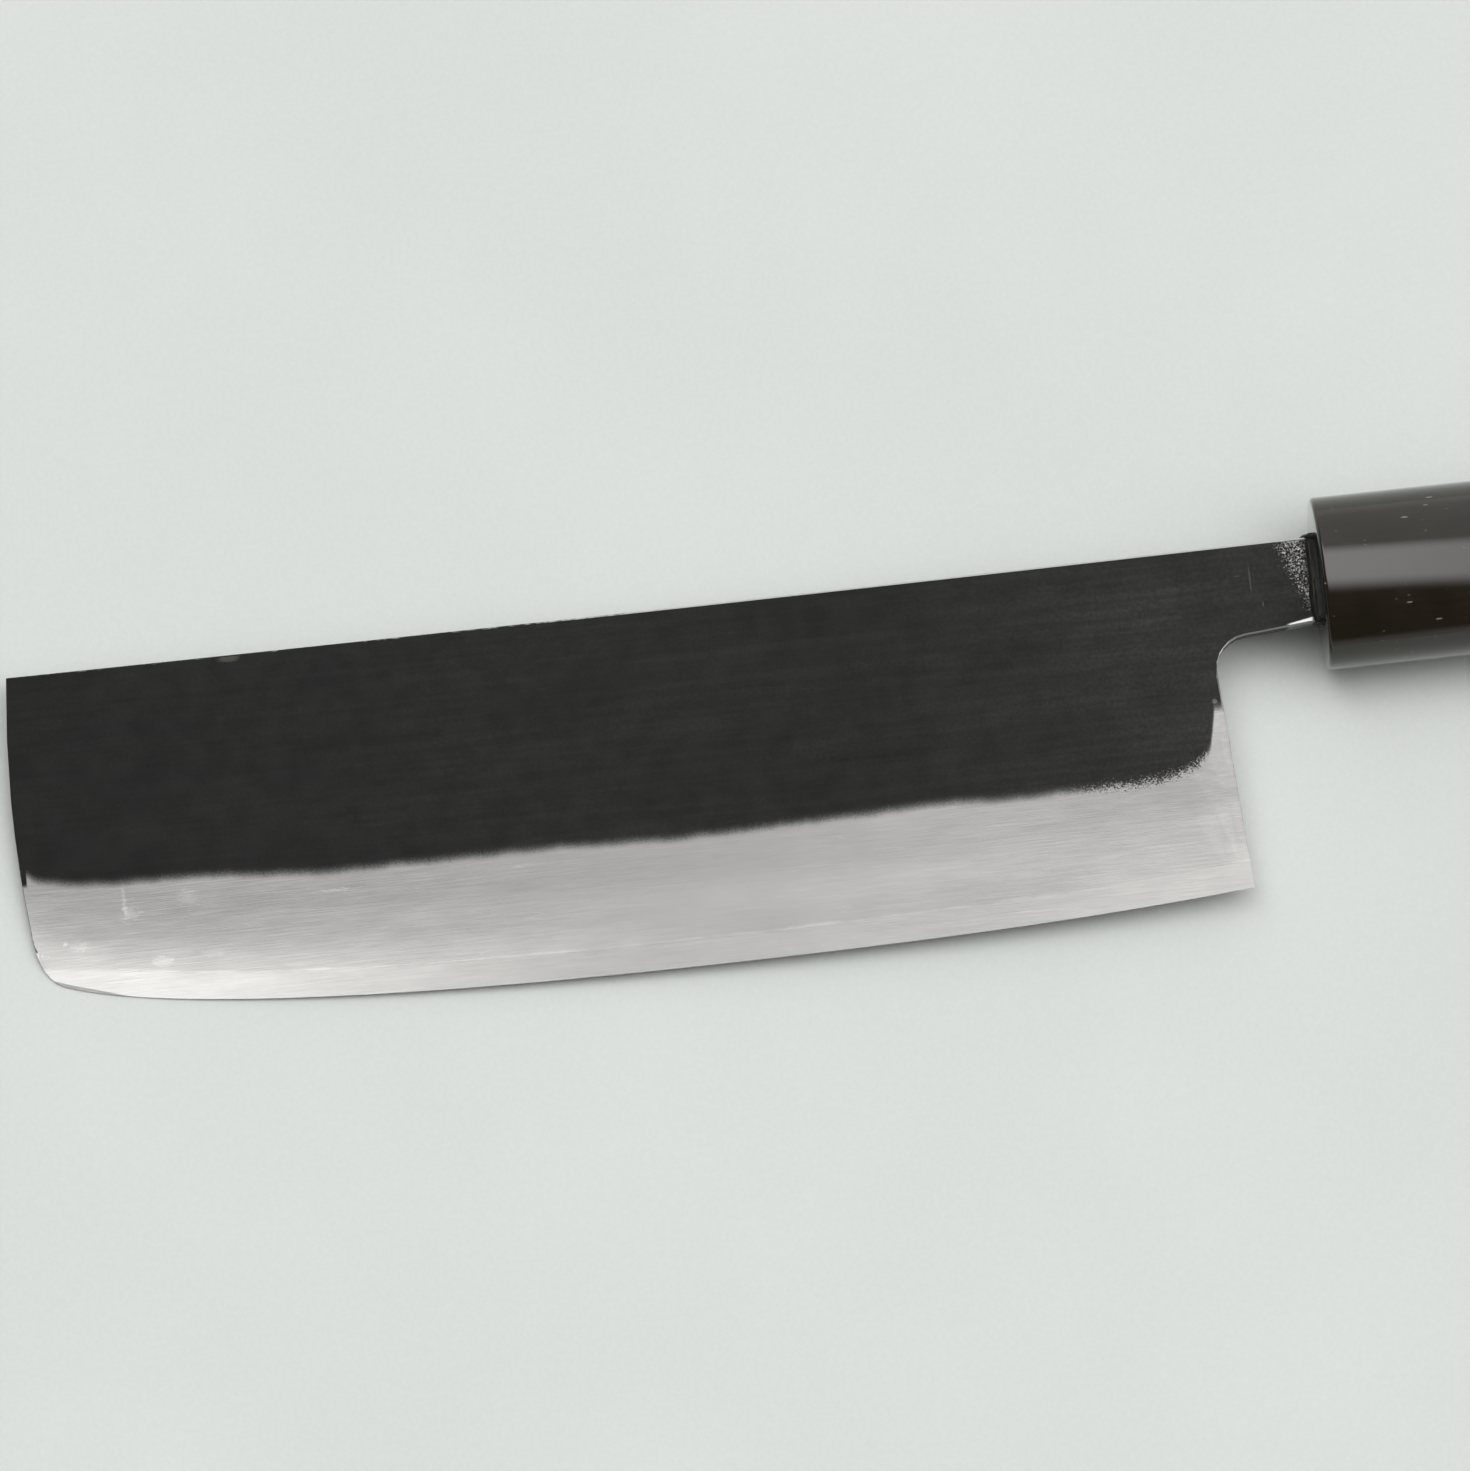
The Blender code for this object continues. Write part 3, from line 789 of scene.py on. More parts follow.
def build_scratches():
    recipe, given, result = new_group("scratches", "Scratches", Length=9.0, Spacing=1.5, Share=0.3)
    place = drawn_out(recipe, given)
    crossing = recipe.math("ABSOLUTE", recipe.minus(recipe.noise(place, 1.0, 0.0), 0.5))
    thin = recipe.slope(crossing, 0.0, 0.012, 1.0, 0.0)
    where = recipe.noise(recipe.stretch(place, (2.3, 0.7, 0.7)), 1.0, 1.0)
    kept = recipe.slope(where, recipe.minus(0.75, given["Share"]), recipe.minus(0.85, given["Share"]))
    recipe.feed(result["Scratches"], recipe.times(thin, kept))
    return recipe.tree


LINES = build_lines()
SCRATCHES = build_scratches()
print("groups:", LINES.name, SCRATCHES.name)

# %% [markdown]
# ## Shared effects: specks and clouds
#
# Specks are dots in the cells of a Voronoi pattern. Each cell has a chance colour, and a cell whose
# red lies under the wanted share keeps its dot. Clouds are soft patches of a plain noise, which
# keep a wide surface from looking dead.

# %% Groups for specks and clouds
def build_specks():
    recipe, given, result = new_group("specks", "Specks", Spacing=1.0, Radius=0.2, Share=0.3)
    cells = recipe.add("TexVoronoi")
    recipe.feed(cells.inputs["Vector"], given["Place"])
    recipe.feed(cells.inputs["Scale"], recipe.math("DIVIDE", 1.0, given["Spacing"]))
    radius = recipe.math("DIVIDE", given["Radius"], given["Spacing"])
    dot = recipe.slope(cells.outputs["Distance"], recipe.times(radius, 0.5), radius, 1.0, 0.0)
    chance = recipe.add("SeparateColor")
    recipe.feed(chance.inputs[0], cells.outputs["Color"])
    kept = recipe.math("LESS_THAN", chance.outputs[0], given["Share"])
    recipe.feed(result["Specks"], recipe.times(dot, kept))
    return recipe.tree


def build_clouds():
    recipe, given, result = new_group("clouds", "Clouds", Size=10.0)
    soft = recipe.noise(given["Place"], recipe.math("DIVIDE", 1.0, given["Size"]), 3.0, 0.55)
    recipe.feed(result["Clouds"], recipe.slope(soft, 0.3, 0.7))
    return recipe.tree


SPECKS = build_specks()
CLOUDS = build_clouds()
print("groups:", SPECKS.name, CLOUDS.name)

# %% [markdown]
# ## Shared effects: one patch and one hump
#
# Some marks sit at a known place. A patch is one soft spot with a centre and a reach each way, and
# a noise makes its rim ragged. A hump is one soft rise along the blade, for waves in a line and for
# what fades in the middle.

# %% Groups for a patch and a hump
def build_patch():
    recipe, given, result = new_group("patch", "Patch", ("Place", "Centre", "Radius"), Grain=0.5)
    offset = recipe.add("VectorMath", operation="SUBTRACT")
    recipe.feed(offset.inputs[0], given["Place"])
    recipe.feed(offset.inputs[1], given["Centre"])
    share = recipe.add("VectorMath", operation="DIVIDE")
    recipe.feed(share.inputs[0], offset.outputs[0])
    recipe.feed(share.inputs[1], given["Radius"])
    length = recipe.add("VectorMath", operation="LENGTH")
    recipe.feed(length.inputs[0], share.outputs[0])
    broken = recipe.noise(recipe.stretch(given["Place"], (1.0, 3.0, 3.0)), 1.2, 3.0, 0.6)
    broken = recipe.times(recipe.minus(broken, 0.5), given["Grain"])
    ragged = recipe.plus(length.outputs["Value"], recipe.times(broken, 3.0))
    recipe.feed(result["Patch"], recipe.slope(ragged, 0.45, 1.0, 1.0, 0.0))
    return recipe.tree


def build_hump():
    recipe, given, result = new_group("hump", "Hump", (), Value=0.0, Centre=0.0, Width=1.0)
    share = recipe.math("DIVIDE", recipe.minus(given["Value"], given["Centre"]), given["Width"])
    square = recipe.times(share, share)
    recipe.feed(result["Hump"], recipe.math("EXPONENT", recipe.times(square, -1.0)))
    return recipe.tree


PATCH = build_patch()
HUMP = build_hump()
print("groups:", PATCH.name, HUMP.name)

# %% [markdown]
# ## Where the wheel has been
#
# Two patterns on the blade come from the wheel: where the black forge skin ends, and how bright the
# bare metal is below that line, with a painted reflection of the room's light in that brightness.
# Cheeks and core read both, so they are groups too. What sits at a stated place is kept in a table,
# which is easier to change than a row of nodes.

# %% Marks and waves of the ground zone
# A mark's reach through the blade, so far that it shows on both sides.
BOTH_SIDES = 9.0
# The wheel's lines fade in the middle of the blade: where, how widely and how much.
CALM_MIDDLE = 95.0
CALM_WIDTH = 45.0
CALM_SHARE = 0.6
# Along the blade, in millimetres: a wave's middle, its width, and how far it lifts the line.
GRIND_WAVES = ((0.0, 6.0, -0.6), (22.0, 12.0, 1.05), (91.0, 15.0, -0.5), (123.0, 6.0, 0.4))
# Marks behind the tip, in millimetres: place along and across the blade, reach both ways, gain.
GROUND_MARKS = (
    (13.0, -32.2, 0.35, 2.8, 0.05),
    (13.5, -33.6, 1.5, 1.1, 0.05),
    (21.6, -32.3, 1.5, 1.5, 0.03),
    (41.7, -33.4, 3.2, 0.3, 0.04),
    (4.6, -36.9, 0.45, 0.4, 0.10),
    (6.4, -37.4, 1.4, 0.8, 0.05),
    (17.4, -40.4, 1.5, 0.9, 0.06),
    (24.4, -40.1, 2.0, 0.7, 0.025),
)


def add_marks(recipe, place, value, marks, grain):
    """Lightens or darkens a brightness in soft patches."""
    for centre_x, centre_y, radius_x, radius_y, gain in marks:
        patch = recipe.use(PATCH, Place=place, Centre=(centre_x, centre_y, 0.0),
                           Radius=(radius_x, radius_y, BOTH_SIDES), Grain=grain)
        value = recipe.plus(value, recipe.times(patch, gain))
    return value


def calmness(recipe, x):
    """How far the wheel's lines have faded at this place along the blade."""
    hump = recipe.use(HUMP, Value=x, Centre=CALM_MIDDLE, Width=CALM_WIDTH)
    return recipe.times(hump, CALM_SHARE)


print("ground zone:", len(GRIND_WAVES), "waves and", len(GROUND_MARKS), "marks")

# %% [markdown]
# ## The end of the black skin
#
# The blade was held to the wheel by hand, so the line wanders: it sits high behind the tip, low in
# the middle, and it breaks up into grains near the heel. It could be painted, but a line worked out
# from the place stays sharp from close by. The group starts from the plain line and adds a table of
# waves, a slow noise and a fine one.

# %% Group for the grinding line
LINE_LIMIT = -21.6


def build_ground_mask():
    recipe, given, result = new_group("ground_mask", "Ground")
    place = given["Place"]
    x, y, _ = recipe.split(place)
    tip_rise = recipe.math("EXPONENT", recipe.math("DIVIDE", x, -GRIND_TIP_FADE / MM))
    tip_rise = recipe.times(tip_rise, GRIND_TIP_RISE / MM)
    from_heel = recipe.math("MAXIMUM", recipe.minus(HEEL_X / MM, x), 0.0)
    heel_rise = recipe.math("EXPONENT", recipe.math("DIVIDE", from_heel, -GRIND_HEEL_FADE / MM))
    heel_rise = recipe.times(heel_rise, GRIND_HEEL_RISE / MM)
    line = recipe.plus(recipe.plus(-GRIND_DEPTH / MM, tip_rise), heel_rise)
    # The line climbs once more at the heel's wall, up to a limit, and a little at the tip's corner.
    line = recipe.plus(line, recipe.slope(x, 160.3, 162.0, 0.0, 3.4))
    line = recipe.math("MINIMUM", line, LINE_LIMIT)
    line = recipe.plus(line, recipe.slope(x, 0.2, 1.6, 0.35, 0.0))
    for centre, width, rise in GRIND_WAVES:
        hump = recipe.use(HUMP, Value=x, Centre=centre, Width=width)
        line = recipe.plus(line, recipe.times(hump, rise))
    above = recipe.minus(y, line)
    wave = recipe.noise(recipe.stretch(place, (0.22, 0.05, 0.2)), 1.0, 3.0, 0.6)
    above = recipe.plus(above, recipe.times(recipe.minus(wave, 0.5), 0.9))
    # Near the heel it breaks up into grains.
    grain = recipe.noise(place, 4.6, 2.0, 0.7)
    near_heel = recipe.times(recipe.slope(x, 138.0, 149.0), recipe.slope(x, 159.3, 160.8, 1.0, 0.0))
    grain_depth = recipe.slope(near_heel, 0.0, 1.0, 0.9, 5.5)
    grain = recipe.times(recipe.minus(grain, 0.5), grain_depth)
    edge = recipe.plus(above, grain)
    width = recipe.slope(near_heel, 0.0, 1.0, 1.2, 0.85)
    soft = recipe.slope(edge, recipe.times(width, -1.0), width, 1.0, 0.0)
    # A narrow strip of scale stays on at the tip's corner.
    corner_scale = recipe.times(recipe.slope(x, 0.10, 0.28, 1.0, 0.0), recipe.slope(y, -28.9, -27.9))
    soft = recipe.times(soft, recipe.minus(1.0, corner_scale))
    recipe.feed(result["Ground"], recipe.math("POWER", soft, 2.0))
    return recipe.tree


GROUND = build_ground_mask()
print("grinding line:", len(GROUND.nodes), "nodes")

# %% [markdown]
# ## Bare iron and bare steel
#
# The hard core shows as a brighter strip along the edge, up to a wavy weld. Both metals are painted
# brightest near the tip, and their brightness also changes along the blade and up the bevel: a
# painted reflection of the room's light. Over them lie what the wheel and the stones leave: haze,
# brushed lines and a few scratches, all along the blade. The group gives one brightness, and each
# finish tints it.

# %% Group for the bare metal
def build_ground_tone():
    recipe, given, result = new_group("ground_tone_and_sheen", "Tone", Height=5.0, OnCore=0.0)
    place = given["Place"]
    height = given["Height"]
    x, y, _ = recipe.split(place)
    # The steel strip ends at the weld, which wanders, and under a slanting cut behind the nose.
    wander = recipe.noise(recipe.stretch(place, (0.11, 0.2, 0.2)), 1.0, 4.0, 0.6)
    wander = recipe.times(recipe.minus(wander, 0.5), 2.0)
    strip_top = recipe.slope(x, 145.0, 163.0, 3.6, 1.9)
    over_strip = recipe.minus(recipe.plus(height, wander), strip_top)
    strip = recipe.slope(over_strip, -0.35, 0.45, 1.0, 0.0)
    nose_cut = recipe.plus(recipe.plus(y, 39.76), recipe.times(x, 0.1156))
    below_cut = recipe.slope(nose_cut, -0.3, 0.4, 1.0, 0.0)
    below_cut = recipe.math("MAXIMUM", below_cut, recipe.slope(x, 24.0, 32.0))
    strip = recipe.times(strip, below_cut)
    # Painted reflection of the room's light: iron is painted brighter low on the bevel, most of all
    # near the tip, and it changes along the blade.
    toward_tip_sheen = recipe.slope(x, 5.0, 85.0, 1.0, 0.0)
    low = recipe.slope(height, 3.0, 9.0, 1.0, 0.0)
    iron = recipe.slope(height, 8.5, 13.5, 0.234, 0.198)
    iron = recipe.plus(iron, recipe.slope(x, 75.0, 135.0, 0.0, 0.036))
    low_bevel_sheen_gain = recipe.slope(x, 70.0, 100.0, 0.04, -0.015)
    low_bevel_sheen_gain = recipe.plus(low_bevel_sheen_gain, recipe.slope(x, 135.0, 147.0, 0.0, 0.06))
    low_bevel_sheen_gain = recipe.plus(low_bevel_sheen_gain, recipe.times(toward_tip_sheen, 0.11))
    iron = recipe.plus(iron, recipe.times(low, low_bevel_sheen_gain))
    # Where iron's colour lies on the core's own bevel, it is painted lighter, most near the tip, a
    # painted light that makes up for the darker shading the core gets there, so that it matches the
    # cheeks.
    core_shading_lift = recipe.times(given["OnCore"], recipe.slope(toward_tip_sheen, 0.0, 1.0, 0.13, 0.38))
    iron = recipe.times(iron, recipe.plus(1.0, core_shading_lift))
    # Painted highlight: the steel strip is painted brighter towards the tip and a little near the heel,
    # where the blade mirrors more of the room's light.
    steel = recipe.plus(0.32, recipe.times(toward_tip_sheen, 0.33))
    steel = recipe.plus(steel, recipe.slope(x, 132.0, 150.0, 0.0, 0.035))
    tone = recipe.mixed(strip, iron, steel)
    haze = recipe.use(CLOUDS, Place=recipe.stretch(place, (0.35, 1.0, 1.0)), Size=3.0)
    lines = recipe.use(LINES, Place=place, Length=8.0, Spacing=0.18)
    calm = calmness(recipe, x)
    lines = recipe.mixed(calm, lines, 0.5)
    haze = recipe.mixed(calm, haze, 0.5)
    tone = recipe.times(tone, recipe.slope(haze, 0.0, 1.0, 0.96, 1.04))
    tone = recipe.times(tone, recipe.slope(lines, 0.0, 1.0, 0.95, 1.05))
    scratch = recipe.use(SCRATCHES, Place=place, Length=24.0, Spacing=0.9, Share=0.3)
    tone = recipe.plus(tone, recipe.times(scratch, 0.02))
    # The facet under the nose is greyer.
    facet_top = recipe.slope(x, 7.0, 15.0, 0.45, -0.10)
    facet = recipe.slope(recipe.minus(height, facet_top), -0.08, 0.08, 1.0, 0.0)
    tone = recipe.times(tone, recipe.slope(facet, 0.0, 1.0, 1.0, 0.50))
    recipe.feed(result["Tone"], add_marks(recipe, place, tone, GROUND_MARKS, 1.1))
    return recipe.tree


GROUND_TONE_AND_SHEEN = build_ground_tone()
print("bare metal:", len(GROUND_TONE_AND_SHEEN.nodes), "nodes")

# %% [markdown]
# ## The forge skin
#
# Above the grinding line the smith leaves the black scale on. It is thin, matt and faintly streaked
# along the blade. At the neck it is eaten into pits, which shine where the hammer has flattened
# them. One helper works out the skin's brightness and another the pits, so that the finish itself
# stays short.

# %% Skin and pits
BARE_METAL = (1.0, 0.985, 0.96)
SCALE_TINT = (1.0, 1.0, 0.88)
# Marks on the skin, as above: two streaks, two dark patches, a chip on the spine, scratches, a chip
# at the heel.
SKIN_MARKS = (
    (100.0, -7.0, 26.0, 0.9, 0.0022),
    (118.0, -23.1, 15.0, 0.8, -0.0025),
    (153.6, -17.6, 3.2, 2.2, -0.0035),
    (153.0, -24.3, 3.0, 1.4, -0.0035),
    (30.2, -0.5, 1.9, 0.8, 0.05),
    (168.4, -4.9, 0.16, 2.5, 0.04),
    (166.7, -4.3, 0.7, 0.12, 0.03),
    (169.8, -8.4, 0.15, 0.5, 0.05),
    (161.8, -20.9, 0.5, 0.5, 0.12),
)


def add_scale(recipe, place, x):
    """Brightness of the black skin: streaks, patches, a greyer neck and a few light specks."""
    streaks = recipe.use(LINES, Place=place, Length=30.0, Spacing=1.1)
    patches = recipe.use(CLOUDS, Place=recipe.stretch(place, (0.4, 1.0, 1.0)), Size=9.0)
    fine = recipe.noise(place, 2.2, 3.0, 0.6)
    skin = recipe.slope(x, 10.0, 90.0, 0.0034, 0.0060)
    skin = recipe.plus(skin, recipe.slope(x, 112.0, 172.0, 0.0, 0.0120))
    skin = recipe.times(skin, recipe.slope(streaks, 0.0, 1.0, 0.7, 1.3))
    skin = recipe.times(skin, recipe.slope(patches, 0.0, 1.0, 0.75, 1.25))
    skin = recipe.times(skin, recipe.slope(fine, 0.3, 0.7, 0.7, 1.3))
    skin = add_marks(recipe, place, skin, SKIN_MARKS, 0.3)
    specks = recipe.use(SPECKS, Place=place, Spacing=6.0, Radius=0.16, Share=0.4)
    return recipe.plus(skin, recipe.times(specks, 0.04))


def add_pits(recipe, place, x, y):
    """The eaten zone on the neck, and the bare grains in it."""
    slant = recipe.plus(recipe.minus(x, 170.6), recipe.times(y, 0.40))
    zone = recipe.times(recipe.slope(slant, -1.0, 3.0), recipe.slope(y, -11.4, -10.2))
    grains = recipe.noise(place, 3.6, 3.0, 0.75)
    limit = recipe.slope(zone, 0.0, 1.0, 0.66, 0.50)
    bare = recipe.slope(recipe.minus(grains, limit), 0.0, 0.05)
    fade = recipe.times(recipe.slope(zone, 0.0, 0.8), recipe.slope(x, 175.7, 176.6, 1.0, 0.25))
    uneven = recipe.slope(recipe.noise(place, 1.1, 3.0, 0.7), 0.35, 0.6, 0.30, 1.0)
    return zone, recipe.times(recipe.times(bare, fade), uneven)


print("skin:", len(SKIN_MARKS), "marks")

# %% [markdown]
# ## The cheeks' finish
#
# Scale and ground metal could be two materials, but then their border would have to follow the
# mesh. One material holds both, and masks choose between them, so the border is as ragged as it is
# on the knife. Just below the border the ground metal is painted a little brighter, a painted
# highlight where the grind's ridge catches the light.

# %% Forged iron
def build_forged():
    made, recipe, shader, place = new_finish("forged_iron")
    x, y, _ = recipe.split(place)
    ground = recipe.use(GROUND, Place=place)
    height = recipe.add("Attribute", attribute_name="edge_height").outputs["Fac"]
    tone = recipe.use(GROUND_TONE_AND_SHEEN, Place=place, Height=height)
    # Painted highlight: the ground metal is painted lighter just below the skin's border, where the
    # grind's ridge catches the light.
    rim = recipe.times(ground, recipe.minus(1.0, ground))
    tone = recipe.times(tone, recipe.plus(1.0, rim))
    skin = add_scale(recipe, place, x)
    pitted, grains = add_pits(recipe, place, x, y)
    skin = recipe.times(skin, recipe.slope(pitted, 0.35, 1.0, 1.0, 0.35))
    # Below the neck a file has laid a small wedge bare.
    wedge_top = recipe.minus(recipe.times(x, 0.18), 42.6)
    wedge = recipe.slope(recipe.minus(y, wedge_top), -0.1, 0.1, 1.0, 0.0)
    between = recipe.times(recipe.slope(x, 172.4, 173.2), recipe.slope(x, 176.0, 176.5, 1.0, 0.0))
    wedge = recipe.times(wedge, between)
    metal = recipe.math("MAXIMUM", ground, recipe.math("MAXIMUM", grains, wedge))
    tone = recipe.mixed(ground, recipe.mixed(wedge, 0.36, 0.40), tone)
    colour = recipe.blend(metal, recipe.tint(SCALE_TINT, skin), recipe.tint(BARE_METAL, tone))
    recipe.feed(shader.inputs["Base Color"], colour)
    recipe.feed(shader.inputs["Metallic"], metal)
    fine_lines = recipe.use(LINES, Place=place, Length=7.0, Spacing=0.12)
    calm = calmness(recipe, x)
    fine_lines = recipe.mixed(calm, fine_lines, 0.5)
    matt = recipe.slope(recipe.noise(place, 0.3), 0.3, 0.7, 0.48, 0.54)
    polish = recipe.slope(fine_lines, 0.0, 1.0, 0.32, 0.42)
    recipe.feed(shader.inputs["Roughness"], recipe.mixed(metal, matt, polish))
    shader.inputs["Specular IOR Level"].default_value = 0.17
    rough = recipe.mixed(pitted, recipe.noise(place, 3.0, 3.0, 0.6), recipe.times(grains, 3.0))
    set_bump(recipe, shader, recipe.mixed(ground, rough, fine_lines), 0.005 * MM)
    return made


forged = build_forged()
for cheek in cheeks:
    cheek.data.materials[0] = forged
print(forged.name, "has", len(forged.node_tree.nodes), "nodes")

# %% [markdown]
# ## The rubbed corners
#
# The chamfers round the blade are where hands, cloth and board touch it, so they are the first to
# come bright. They have a material slot of their own. A noise that is drawn out along the blade
# breaks the wear up, as it is never even.

# %% Rubbed corners
def build_rubbed():
    """The bevelled corners: bare where they are touched most, else black like the faces."""
    made, recipe, shader, place = new_finish("rubbed_corner")
    x, y, _ = recipe.split(place)
    ground = recipe.use(GROUND, Place=place)
    choil = recipe.times(recipe.slope(x, 156.0, 158.0), recipe.slope(y, -1.0, -2.0))
    spine = recipe.times(recipe.slope(x, 50.0, 130.0, 0.15, 1.0), recipe.slope(y, -1.5, -0.6))
    worn = recipe.math("MAXIMUM", recipe.math("MAXIMUM", choil, spine), ground)
    broken = recipe.noise(recipe.stretch(place, (0.5, 1.0, 1.0)), 1.6, 4.0, 0.65)
    worn = recipe.slope(recipe.plus(recipe.times(broken, 0.9), worn), 0.62, 1.0)
    colour = recipe.blend(worn, recipe.tint(SCALE_TINT, 0.008), recipe.tint(BARE_METAL, 0.62))
    recipe.feed(shader.inputs["Base Color"], colour)
    recipe.feed(shader.inputs["Metallic"], worn)
    recipe.feed(shader.inputs["Roughness"], recipe.mixed(worn, 0.5, 0.33))
    shader.inputs["Specular IOR Level"].default_value = 0.2
    set_bump(recipe, shader, broken, 0.01 * MM)
    return made


rubbed = build_rubbed()
for cheek in cheeks:
    cheek.data.materials[1] = rubbed
print(rubbed.name, "has", len(rubbed.node_tree.nodes), "nodes")

# %% [markdown]
# ## The edge
#
# The core reads the same two groups as the cheeks, so that iron, lines and weld run on without a
# step where the iron's lip ends. It tells the group that it is the core, which paints the iron's
# tone there lighter, a painted light that makes up for the core's darker shading, to match the
# cheek beside it.

# %% Edge steel
def build_steel():
    made, recipe, shader, place = new_finish("edge_steel")
    ground = recipe.use(GROUND, Place=place)
    height = recipe.add("Attribute", attribute_name="edge_height").outputs["Fac"]
    tone = recipe.use(GROUND_TONE_AND_SHEEN, Place=place, Height=height, OnCore=1.0)
    colour = recipe.blend(ground, recipe.tint(SCALE_TINT, 0.010), recipe.tint(BARE_METAL, tone))
    recipe.feed(shader.inputs["Base Color"], colour)
    recipe.feed(shader.inputs["Metallic"], ground)
    fine_lines = recipe.use(LINES, Place=place, Length=7.0, Spacing=0.12)
    polish = recipe.slope(fine_lines, 0.0, 1.0, 0.30, 0.38)
    recipe.feed(shader.inputs["Roughness"], recipe.mixed(ground, 0.5, polish))
    set_bump(recipe, shader, fine_lines, 0.003 * MM)
    return made


coat_with(core, build_steel())
print("the core wears", core.data.materials[0].name)

# %% [markdown]
# ## Polished horn
#
# The collar is dark horn under a thin coat of wax, with a few fine nicks and reddish specks. The
# wax gives the sharp bright bands, so it is the shader's coat, and the horn under it reflects less.
# Where a nick breaks the wax, the coat is thinner.

# %% Horn
def build_horn():
    made, recipe, shader, place = new_finish("dark_horn")
    fibres = recipe.use(LINES, Place=place, Length=16.0, Spacing=0.6)
    clouds = recipe.use(CLOUDS, Place=place, Size=6.0)
    drawn = recipe.stretch(place, (0.6, 1.0, 1.0))
    specks = recipe.use(SPECKS, Place=drawn, Spacing=1.0, Radius=0.16, Share=0.30)
    long_drawn = recipe.stretch(place, (0.28, 1.0, 1.0))
    nicks = recipe.use(SPECKS, Place=long_drawn, Spacing=1.1, Radius=0.17, Share=0.28)
    colour = recipe.blend(clouds, (0.0145, 0.0115, 0.0072), (0.0190, 0.0150, 0.0095))
    colour = recipe.tint(colour, recipe.slope(fibres, 0.0, 1.0, 0.9, 1.1))
    colour = recipe.blend(recipe.times(specks, 0.55), colour, (0.15, 0.08, 0.055))
    colour = recipe.blend(recipe.times(nicks, 0.8), colour, (0.23, 0.22, 0.19))
    marks = recipe.math("MAXIMUM", specks, nicks)
    recipe.feed(shader.inputs["Base Color"], colour)
    rough = recipe.slope(clouds, 0.0, 1.0, 0.10, 0.14)
    recipe.feed(shader.inputs["Roughness"], recipe.plus(rough, recipe.times(marks, 0.15)))
    shader.inputs["IOR"].default_value = 1.30
    recipe.feed(shader.inputs["Coat Weight"], recipe.slope(marks, 0.0, 1.0, 1.0, 0.7))
    shader.inputs["Coat Roughness"].default_value = 0.07
    shader.inputs["Coat IOR"].default_value = 1.42
    relief = recipe.minus(recipe.times(fibres, 0.3), marks)
    set_bump(recipe, shader, relief, 0.002 * MM)
    return made


coat_with(collar, build_horn())
print("the collar wears", collar.data.materials[0].name)

# %% [markdown]
# ## Black resin
#
# The resin is nearly black and only half glossy, because it was smoothed with a finger. Small
# clouds change its black and its gloss together.

# %% Resin
def build_resin():
    made, recipe, shader, place = new_finish("black_resin")
    clouds = recipe.use(CLOUDS, Place=place, Size=1.2)
    colour = recipe.blend(clouds, (0.004, 0.004, 0.004), (0.014, 0.014, 0.012))
    recipe.feed(shader.inputs["Base Color"], colour)
    recipe.feed(shader.inputs["Roughness"], recipe.slope(clouds, 0.0, 1.0, 0.40, 0.60))
    shader.inputs["Specular IOR Level"].default_value = 0.3
    set_bump(recipe, shader, clouds, 0.02 * MM)
    return made


coat_with(resin, build_resin())
print("the resin wears", resin.data.materials[0].name)

# %% [markdown]
# ## Oiled wood
#
# The grip is oiled dark wood. Its rings are a noise that is drawn far out along the grip and cut
# into bands, and its pores are the shared lines, kept short.

# %% Wood
def build_grip_wood():
    made, recipe, shader, place = new_finish("oiled_dark_wood")
    rings = recipe.noise(recipe.stretch(place, (0.02, 0.35, 0.35)), 1.0, 3.0, 0.6)
    bands = recipe.math("FRACT", recipe.times(rings, 9.0))
    bands = recipe.times(recipe.slope(bands, 0.0, 0.7), recipe.slope(bands, 0.7, 1.0, 1.0, 0.0))
    pores = recipe.use(LINES, Place=place, Length=5.0, Spacing=0.16)
    colour = recipe.blend(bands, (0.028, 0.020, 0.015), (0.060, 0.040, 0.028))
    colour = recipe.tint(colour, recipe.slope(pores, 0.1, 0.6, 0.55, 1.1))
    recipe.feed(shader.inputs["Base Color"], colour)
    recipe.feed(shader.inputs["Roughness"], recipe.slope(pores, 0.0, 1.0, 0.5, 0.3))
    set_bump(recipe, shader, pores, 0.02 * MM)
    return made


coat_with(grip, build_grip_wood())
print("the grip wears", grip.data.materials[0].name)

# %% [markdown]
# ## Dowel and adhesive
#
# These two stay inside the handle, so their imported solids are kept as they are. Each still gets its
# own finish, in the slot that it already has, for whoever takes the knife apart.

# %% Dowel and adhesive
def build_dowel_wood():
    made, recipe, shader, place = new_finish("raw_dowel_wood")
    pores = recipe.use(LINES, Place=place, Length=6.0, Spacing=0.25)
    colour = recipe.blend(pores, (0.33, 0.21, 0.12), (0.55, 0.39, 0.24))
    recipe.feed(shader.inputs["Base Color"], colour)
    recipe.feed(shader.inputs["Roughness"], recipe.slope(pores, 0.0, 1.0, 0.7, 0.55))
    set_bump(recipe, shader, pores, 0.02 * MM)
    return made


def build_adhesive():
    made, recipe, shader, place = new_finish("hard_adhesive")
    clouds = recipe.use(CLOUDS, Place=place, Size=2.0)
    colour = recipe.blend(clouds, (0.45, 0.38, 0.20), (0.62, 0.54, 0.33))
    recipe.feed(shader.inputs["Base Color"], colour)
    recipe.feed(shader.inputs["Roughness"], recipe.slope(clouds, 0.0, 1.0, 0.3, 0.5))
    set_bump(recipe, shader, clouds, 0.03 * MM)
    return made


frame["nodes"]["core_dowel"].material_slots[0].material = build_dowel_wood()
frame["nodes"]["tang_bedding"].material_slots[0].material = build_adhesive()
print("handle finishes ready")

# %% [markdown]
# ## Lay the pieces on the table
#
# Every new piece takes the place of its solid and rides on the knife's one body.

